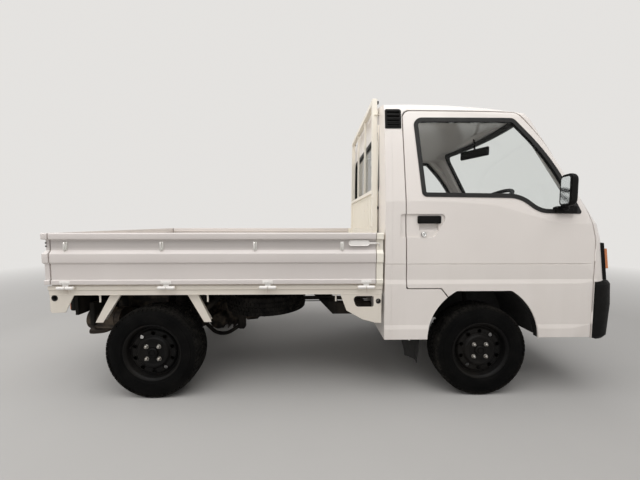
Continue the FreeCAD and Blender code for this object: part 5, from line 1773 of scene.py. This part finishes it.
def surfaceGrid(find, ranges, count, lift, dish=0.0, inset=0.0):
    # patch of points over the front of the cab, seen from ahead and hollowed by a dish
    (lowY, highY), (lowZ, highZ) = ranges
    rows = []
    for i in range(count + 1):
        row = []
        for k in range(count + 1):
            y = lowY + inset + (highY - lowY - 2 * inset) * k / count
            z = lowZ + inset + (highZ - lowZ - 2 * inset) * i / count
            u = 2 * k / count - 1
            v = 2 * i / count - 1
            depth = dish * max(0.0, 1 - (u ** 4 + v ** 4))
            row.append(Vector((fromAhead(find, y, z).x + lift - depth, y, z)))
        rows.append(row)
    return rows


def closeGrid(rows, thick):
    # gives a patch a wall behind it
    count = len(rows)
    wide = len(rows[0])
    points = [p for row in rows for p in row] + [p - Vector((thick, 0, 0)) for row in rows for p in row]
    back = count * wide
    faces = []
    for i in range(count - 1):
        for k in range(wide - 1):
            a, b, c, d = i * wide + k, i * wide + k + 1, (i + 1) * wide + k + 1, (i + 1) * wide + k
            faces.append((a, b, c, d))
            faces.append((back + d, back + c, back + b, back + a))
    rim = [k for k in range(wide)] + [(i + 1) * wide - 1 for i in range(1, count)]
    rim += [(count - 1) * wide + k for k in range(wide - 2, -1, -1)] + [i * wide
        for i in range(count - 2, 0, -1)]
    for k, a in enumerate(rim):
        b = rim[(k + 1) % len(rim)]
        faces.append((b, a, back + a, back + b))
    return points, faces


def makeHeadlamps():
    values = frontValues
    find = surfaceFinder(["headlamps"])
    ranges, count = values["lensRanges"], values["lensGrid"]
    lens = closeGrid(surfaceGrid(find, ranges, count, -0.0005), 0.0028)
    reflector = closeGrid(surfaceGrid(find, ranges, count, -0.0050, 0.0055, 0.003), 0.0012)
    y, z = (sum(pair) / 2 for pair in ranges)
    cap = latheShape([(0.0, 0.022), (0.0045, 0.020), (0.0062, 0.010), (0.0066, 0.0)], 24)
    cap = shiftShape(cap, (fromAhead(find, y, z).x - 0.0108, y, z), turnBy(-90.0, "Z"))
    for side in ("left", "right"):
        lensPiece = meshPiece(f"headlampLens_{side}", sided(lens, side), "lampGlass", 30.0)
        mirrorPiece = meshPiece(f"headlampReflector_{side}", sided(reflector, side), "chrome", 60.0)
        capPiece = meshPiece(f"headlampBulbCap_{side}", sided(cap, side), "chrome", 60.0)
        rideAll([lensPiece, mirrorPiece, capPiece], "truck")
        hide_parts("headlamps")


def makeWipers():
    # pivots on the cowl, sprung arms and blades lying on the glass
    values = frontValues
    find = surfaceFinder(["windscreen", "window_seals", "cab_front_panel", "cab_roof"])
    metal, rubber = [], []

    def onScreen(y, z, lift):
        return fromAhead(find, y, z) + Vector((lift, 0.0, lift * 0.4))
    for startY, endY in values["wiperPivots"]:
        middleY = (startY + endY) / 2
        pivot = onScreen(startY, 1.012, 0.0)
        post = pivot - Vector((0.006, 0, 0.004)), pivot + Vector((0.018, 0.0, 0.010))
        metal.append(rodShape(*post, 0.011, 16, 0.003))
        elbow = onScreen(startY + 0.05, 1.045, 0.020)
        metal.append(tubeShape([pivot + Vector((0.014, 0, 0.006)), elbow, onScreen(middleY, 1.064, 0.020)],
            0.0042, 8))
        spine, edge = [], []
        for k in range(15):
            y = middleY + (k / 14 - 0.5) * values["wiperReach"]
            bow = 0.004 * math.sin(k / 14 * math.pi)
            spine.append(onScreen(y, values["bladeZ"] + bow, 0.012 + bow))
            edge.append(onScreen(y, values["bladeZ"] + bow - 0.001, 0.0035))
        metal.append(tubeShape(spine, 0.0026, 6))
        rubber.append(tubeShape(edge, 0.0030, 6))
        for k in (1, 5, 9, 13):
            metal.append(tubeShape([spine[k], edge[k]], 0.0024, 6))
    arms = meshPiece("wiperArms", joinShapes(metal), "trimBlack", 45.0)
    blades = meshPiece("wiperBlades", joinShapes(rubber), "sealRubber", 45.0)
    rideAll([arms, blades], "truck")


def makeFrontPanel():
    # cowl slots, ribs on the bumper and a bare plate
    values = frontValues
    find = surfaceFinder(["cab_front_panel", "cab_roof"])
    rows, firstZ, pitch, places = values["cowlSlots"]
    slots = []
    for z in (firstZ + pitch * row for row in range(rows)):
        for y in places:
            x = fromAhead(find, y, z).x
            slots.append(boxShape((x - 0.003, y - 0.019, z - 0.0022), (x + 0.0008, y + 0.019, z + 0.0022),
                0.0008))
    grille = meshPiece("cowlSlots", joinShapes(slots), "trimBlack", 40.0)
    find = surfaceFinder(["front_bumper"])
    rows, firstZ, pitch, places = values["bumperRibs"]
    ribs = []
    for z in (firstZ + pitch * row for row in range(rows)):
        ribs.append(tubeShape([fromAhead(find, y, z) - Vector((0.001, 0, 0)) for y in places], 0.0045, 6))
    ribPiece = meshPiece("bumperRibs", joinShapes(ribs), "bumperBlack", 50.0)
    # the plate stands clear of the bumper's furthest point behind it
    wide, tall = (size / 2 for size in values["plateSize"])
    z = values["plateZ"]
    x = 0.0012 + max(fromAhead(find, y, z + dz).x for y in (-wide, 0.0, wide) for dz in (-tall, 0.0, tall))
    holder = boxShape((x - 0.012, -wide - 0.006, z - tall - 0.006),
        (x - 0.0008, wide + 0.006, z + tall + 0.006), 0.002)
    plate = boxShape((x - 0.0010, -wide, z - tall), (x + 0.0006, wide, z + tall), 0.0006)
    bolt = latheShape([(0.0, 0.0), (0.0, 0.0065), (0.0012, 0.0055), (0.0013, 0.0)], 16)
    bolts = [shiftShape(bolt, (x + 0.0005, y, z + tall - 0.014), turnBy(-90.0, "Z"))
        for y in values["plateBolts"]]
    holderPiece = meshPiece("frontPlateHolder", holder, "trimBlack", 40.0)
    platePiece = meshPiece("frontPlate", plate, "plateWhite", 40.0)
    boltPiece = meshPiece("frontPlateBolts", joinShapes(bolts), "zinc", 40.0)
    rideAll([grille, ribPiece, holderPiece, boltPiece], "truck")
    rideAll([platePiece], "truck")


# ---- tail

tailValues = {
    "lampY": (0.400, 0.560),
    "lampZ": (0.480, 0.580),
    "lampX": (-1.630, -1.594),
    # finish and ends across, measured from the lamp's inner edge
    "lenses": [("redLens", 0.006, 0.078), ("clearLens", 0.079, 0.104), ("amberLens", 0.105, 0.154)],
    "reflectorY": 0.290,
    "plateHalfWidth": 0.163,
    "plateBoltY": 0.105,
}


def makeTailLamps():
    # black housing with red, amber and clear lenses side by side
    values = tailValues
    lowX, highX = values["lampX"]
    lowY, highY = values["lampY"]
    lowZ, highZ = values["lampZ"]
    back = turnBy(-90.0, "Z")
    box = boxShape((lowX + 0.010, lowY, lowZ), (highX, highY, highZ), 0.006)
    lip = boxShape((lowX + 0.0075, lowY + 0.002, lowZ + 0.002), (lowX + 0.013, highY - 0.002, highZ - 0.002),
        0.002)
    housing = joinShapes([box, lip])
    screw = latheShape([(0.0, 0.0), (0.0, 0.0045), (-0.0015, 0.004), (-0.0015, 0.0)], 14)
    places = [(lowX + 0.0005, y, (lowZ + highZ) / 2) for y in (lowY + 0.012, highY - 0.012)]
    screws = joinShapes([shiftShape(screw, place, back) for place in places])
    for side in ("left", "right"):
        body = meshPiece(f"tailLampHousing_{side}", sided(housing, side), "trimBlack", 40.0)
        rideAll([body], "truck")
        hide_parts("tail_lamps")
        for name, first, last in values["lenses"]:
            lens = boxShape((lowX, lowY + first, lowZ + 0.006), (lowX + 0.012, lowY + last, highZ - 0.006),
                0.003)
            piece = meshPiece(f"tail_{name}_{side}", sided(lens, side), name, 40.0)
            rideAll([piece], "truck")
        screwPiece = meshPiece(f"tailLampScrews_{side}", sided(screws, side), "zinc", 40.0)
        rideAll([screwPiece], "truck")
    # round reflectors on the bar, a lamp over the plate, and the plate's rim and bolts
    reflector = latheShape([(0.0, 0.0), (0.0, 0.026), (-0.004, 0.026), (-0.0052, 0.0235), (-0.0052, 0.0)], 32)
    away = values["reflectorY"]
    reflectors = [shiftShape(reflector, (-1.5935, y, 0.535), back) for y in (-away, away)]
    red = meshPiece("tailReflectors", joinShapes(reflectors), "redLens", 40.0)
    hoodPath = roundPath([(-1.596, 0.600), (-1.622, 0.604), (-1.618, 0.622), (-1.5935, 0.624)], 0.004, 4)
    plateLamp = meshPiece("plateLamp", extrudePath(hoodPath, -0.045, 0.045, "y"), "trimBlack", 40.0)
    low, high = metres("number_plate")[:2]
    wide = values["plateHalfWidth"]
    corners = [(-wide, low.z + 0.002), (wide, low.z + 0.002), (wide, high.z - 0.002), (-wide, high.z - 0.002)]
    rim = [Vector((low.x - 0.0002, p.x, p.y)) for p in roundPath(corners, 0.010, 5)]
    plateRim = meshPiece("plateRim", tubeShape(rim, 0.0013, 6, closed=True), "plateWhite", 50.0)
    bolt = latheShape([(0.0, 0.0), (0.0, 0.0070), (-0.0016, 0.0058), (-0.0018, 0.0)], 6)
    away = values["plateBoltY"]
    bolts = [shiftShape(bolt, (low.x, y, high.z - 0.014), back) for y in (-away, away)]
    boltPiece = meshPiece("plateBolts", joinShapes(bolts), "zinc", 40.0)
    rideAll([red], "truck")
    rideAll([plateLamp, boltPiece], "truck")
    rideAll([plateRim], "truck")


# ---- underneath

underValues = {
    "springY": 0.295,
    "springRadius": 0.050,
    "springWire": 0.0065,
    "springTurns": 5.5,
    "flapX": 0.402,
    "flapY": (0.486, 0.672),
    "flapZ": (0.200, 0.345),
    "rearAxleX": -1.083,
    "frontAxleX": 0.802,
    "axleZ": 0.267,
    "hangerX": [-1.540, -1.410],
    # route, radius and sides of each hose
    "hoses": [
        ([(-0.700, -0.240, 0.270), (-0.780, -0.262, 0.225), (-0.860, -0.270, 0.232),
        (-0.930, -0.262, 0.290)], 0.013, 10),
        ([(-0.610, -0.060, 0.360), (-0.420, -0.150, 0.430), (-0.150, -0.180, 0.450), (0.250, -0.120, 0.440)],
        0.010, 8),
        ([(-1.180, -0.240, 0.300), (-1.240, -0.300, 0.240), (-1.330, -0.310, 0.230),
        (-1.420, -0.290, 0.290)], 0.015, 10),
    ],
    # y, z and radius of the lines along the right rail
    "railLines": [(-0.326, 0.470, 0.003), (-0.326, 0.482, 0.003), (-0.330, 0.500, 0.0065)],
    # low and high corners and the edge of each black bracket
    "brackets": [
        ((-0.690, -0.305, 0.395), (-0.640, 0.305, 0.440), 0.008),
        ((-0.705, -0.270, 0.250), (-0.660, -0.205, 0.400), 0.010),
        ((-1.560, -0.330, 0.330), (-1.500, 0.330, 0.372), 0.008),
        ((-1.545, -0.520, 0.372), (-1.515, -0.300, 0.520), 0.006),
    ],
}


def coilShape(x, y, low, high, radius, wire, turns):
    steps = int(turns * 20)
    path = []
    for k in range(steps + 1):
        a = math.tau * turns * k / steps
        path.append(Vector((x + radius * math.cos(a), y + radius * math.sin(a),
            low + (high - low) * k / steps)))
    return tubeShape(path, wire, 8)


def drumShape(inner, width, cut):
    # a ring with its rims cut back, round the Y axis
    profile = [(0.0, inner), (0.0, 0.124), (cut, 0.1275),
               (width - 0.004, 0.1275), (width, 0.124), (width, inner)]
    return latheShape(profile, 40, closed=True)


def makeMudFlaps():
    # rubber sheets, creased and worn along the bottom edge, under a clamping strip
    values = underValues
    x = values["flapX"] - 0.012
    lowY, highY = values["flapY"]
    lowZ, highZ = values["flapZ"]
    across, down = 22, 20
    shuffle = random.Random(11)
    worn = [shuffle.uniform(-0.0025, 0.0025) for k in range(across + 1)]
    rows = []
    for i in range(down + 1):
        v = i / down
        wear = 1.0 if i == down else 0.8 * v
        narrowing = 0.055 * v * v
        row = []
        for k in range(across + 1):
            u = k / across
            ripple = 0.010 * v * math.sin(u * 9.0 + v * 2.2) + 0.002 * v * math.sin(u * 15.0 - v * 5.0)
            y = lowY + narrowing * 0.3 + (highY - lowY - narrowing) * u
            z = highZ + 0.010 - (highZ - lowZ + 0.030) * v + worn[k] * wear
            row.append(Vector((x + 0.052 * u + 0.016 * v * v + ripple, y, z)))
        rows.append(row)
    sheet = closeGrid(rows, 0.0035)
    clamp = boxShape((x - 0.006, lowY + 0.004, highZ - 0.016), (x, highY - 0.004, highZ + 0.004), 0.0015)
    for side in ("left", "right"):
        flap = meshPiece(f"mudFlap_{side}", sided(sheet, side), "flapRubber", 60.0)
        strip = meshPiece(f"mudFlapStrip_{side}", sided(clamp, side), "zinc", 40.0)
        rideAll([flap, strip], "truck")
        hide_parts("mud_flaps")


def motorShapes():
    # sump with fins, pulley and bell housing of the motor, and the gearbox ahead of the axle
    axleZ = underValues["axleZ"]
    low, high = metres("engine")[:2]
    shapes = [boxShape((low.x + 0.040, -0.170, low.z - 0.038), (high.x - 0.060, 0.170, low.z + 0.010), 0.014)]
    for k in range(9):
        x = low.x + 0.055 + k * (high.x - low.x - 0.13) / 8
        shapes.append(boxShape((x, -0.178, low.z - 0.010), (x + 0.006, 0.178, low.z + 0.004), 0.002))
    pulley = [(0.0, 0.0), (0.0, 0.022), (0.004, 0.056), (0.010, 0.060), (0.016, 0.056), (0.022, 0.060),
              (0.028, 0.056), (0.030, 0.030), (0.030, 0.0)]
    shapes.append(shiftShape(latheShape(pulley, 32), (low.x + 0.120, -0.302, low.z + 0.120)))
    shapes.append(boxShape((high.x - 0.030, -0.140, low.z + 0.020), (high.x + 0.110, 0.140, low.z + 0.230),
        0.030))
    shaftEnd = (underValues["rearAxleX"] + 0.100, 0.0, axleZ + 0.030)
    shapes.append(rodShape((high.x + 0.080, 0.0, low.z + 0.090), shaftEnd, 0.050, 20, 0.010))
    shapes.append(boxShape((-0.945, -0.165, 0.235), (-0.700, 0.165, 0.430), 0.040))
    shapes.append(rodShape((-0.715, -0.020, 0.320), (-0.600, -0.020, 0.330), 0.085, 28, 0.020))
    shapes.append(rodShape((-0.860, -0.235, 0.300), (-0.860, 0.235, 0.300), 0.062, 24, 0.012))
    for x in (-0.930 + 0.040 * k for k in range(6)):
        shapes.append(boxShape((x, -0.172, 0.222), (x + 0.008, 0.172, 0.420), 0.003))
    return shapes


def tankShapes():
    # straps, seam and filler of the fuel tank
    low, high, middle = metres("fuel_tank")
    shapes = []
    strap = [(low.y + 0.010, low.z - 0.0015), (high.y + 0.0022, low.z - 0.0015),
        (high.y + 0.0022, high.z - 0.010)]
    for x in (low.x + 0.060, high.x - 0.060):
        path = roundPath(strap, 0.032, 6, False)
        shapes.append(tubeShape([Vector((x, p.x, p.y)) for p in path], 0.0045, 8))
    seam = [(low.x - 0.004, low.y + 0.012), (high.x + 0.004, low.y + 0.012), (high.x + 0.004, high.y + 0.004),
            (low.x - 0.004, high.y + 0.004)]
    path = [Vector((p.x, p.y, middle.z)) for p in roundPath(seam, 0.030, 6)]
    shapes.append(tubeShape(path, 0.0045, 8, closed=True))
    neck = (middle.x, high.y - 0.004, high.z - 0.060), (middle.x, high.y + 0.022, high.z - 0.056)
    shapes.append(rodShape(*neck, 0.030, 24, 0.004))
    return shapes


def makeUnderside():
    # springs, dampers, brake drums, motor, exhaust, hoses and lines
    values = underValues
    rearX, frontX, axleZ = values["rearAxleX"], values["frontAxleX"], values["axleZ"]
    black, iron, steel = [], motorShapes(), []
    for side in (1.0, -1.0):
        black.append(coilShape(rearX, side * values["springY"], 0.312, 0.480, values["springRadius"],
                               values["springWire"], values["springTurns"]))
        black.append(rodShape((rearX + 0.085, side * 0.400, 0.245), (rearX + 0.150, side * 0.335, 0.520),
            0.020, 18, 0.004))
        black.append(rodShape((rearX + 0.080, side * 0.405, 0.225), (rearX + 0.092, side * 0.395, 0.270),
            0.012, 14, 0.003))
        iron.append(shiftShape(drumShape(0.060, 0.026, 0.006), (rearX, side * 0.535 - 0.013, axleZ)))
        iron.append(coilShape(frontX, side * 0.440, 0.560, 0.600, 0.044, 0.006, 1.5))
    for low, high, edge in values["brackets"]:
        black.append(boxShape(low, high, edge))
    for route, radius, segments in values["hoses"]:
        black.append(wireShape(route, 6, radius, segments))
    for y, z, radius in values["railLines"]:
        route = [(-0.850, y, z), (-0.500, y, z - 0.004), (-0.150, y, z), (0.150, y, z - 0.003), (0.360, y, z)]
        black.append(wireShape(route, 5, radius, 8))
    black.extend(tankShapes())
    # tail pipe, and bands with hangers round the muffler
    pipe = [(-1.470, -0.405, 0.345), (-1.510, -0.430, 0.318), (-1.570, -0.440, 0.312),
        (-1.600, -0.440, 0.312)]
    steel.append(wireShape(pipe, 6, 0.019, 16))
    for x in values["hangerX"]:
        band = [Vector((x, -0.440 + 0.0690 * math.cos(a), 0.400 + 0.0690 * math.sin(a))) for a in circle(40)]
        steel.append(tubeShape(band, 0.0022, 6, closed=True))
        black.append(wireShape([(x, -0.372, 0.420), (x, -0.345, 0.460), (x, -0.318, 0.500)], 4, 0.005, 8))
    blackPiece = meshPiece("underbodyBlack", joinShapes(black), "chassisBlack", 50.0)
    ironPiece = meshPiece("underbodyIron", joinShapes(iron), "castIron", 45.0)
    clamp = meshPiece("spareClamp", boxShape((-0.522, -0.318, 0.444), (-0.484, -0.312, 0.470), 0.002),
        "zinc", 40.0)
    rideAll([blackPiece, clamp], "truck")
    rideAll([ironPiece], "truck")
    # backing plates behind the front wheels turn with the steering
    for side, sign in (("left", 1.0), ("right", -1.0)):
        shape = shiftShape(drumShape(0.040, 0.020, 0.005), (frontX, sign * 0.536 - 0.010, axleZ))
        piece = meshPiece(f"frontBackingPlate_{side}", shape, "castIron", 45.0)
        rideAll([piece], f"{side}_knuckle")
    steelPiece = meshPiece("exhaustParts", joinShapes(steel), "exhaustSteel", 50.0)
    rideAll([steelPiece], "truck")


makeHeadlamps()
makeWipers()
makeFrontPanel()
makeTailLamps()
makeMudFlaps()
makeUnderside()
print("front, tail and underside ready")
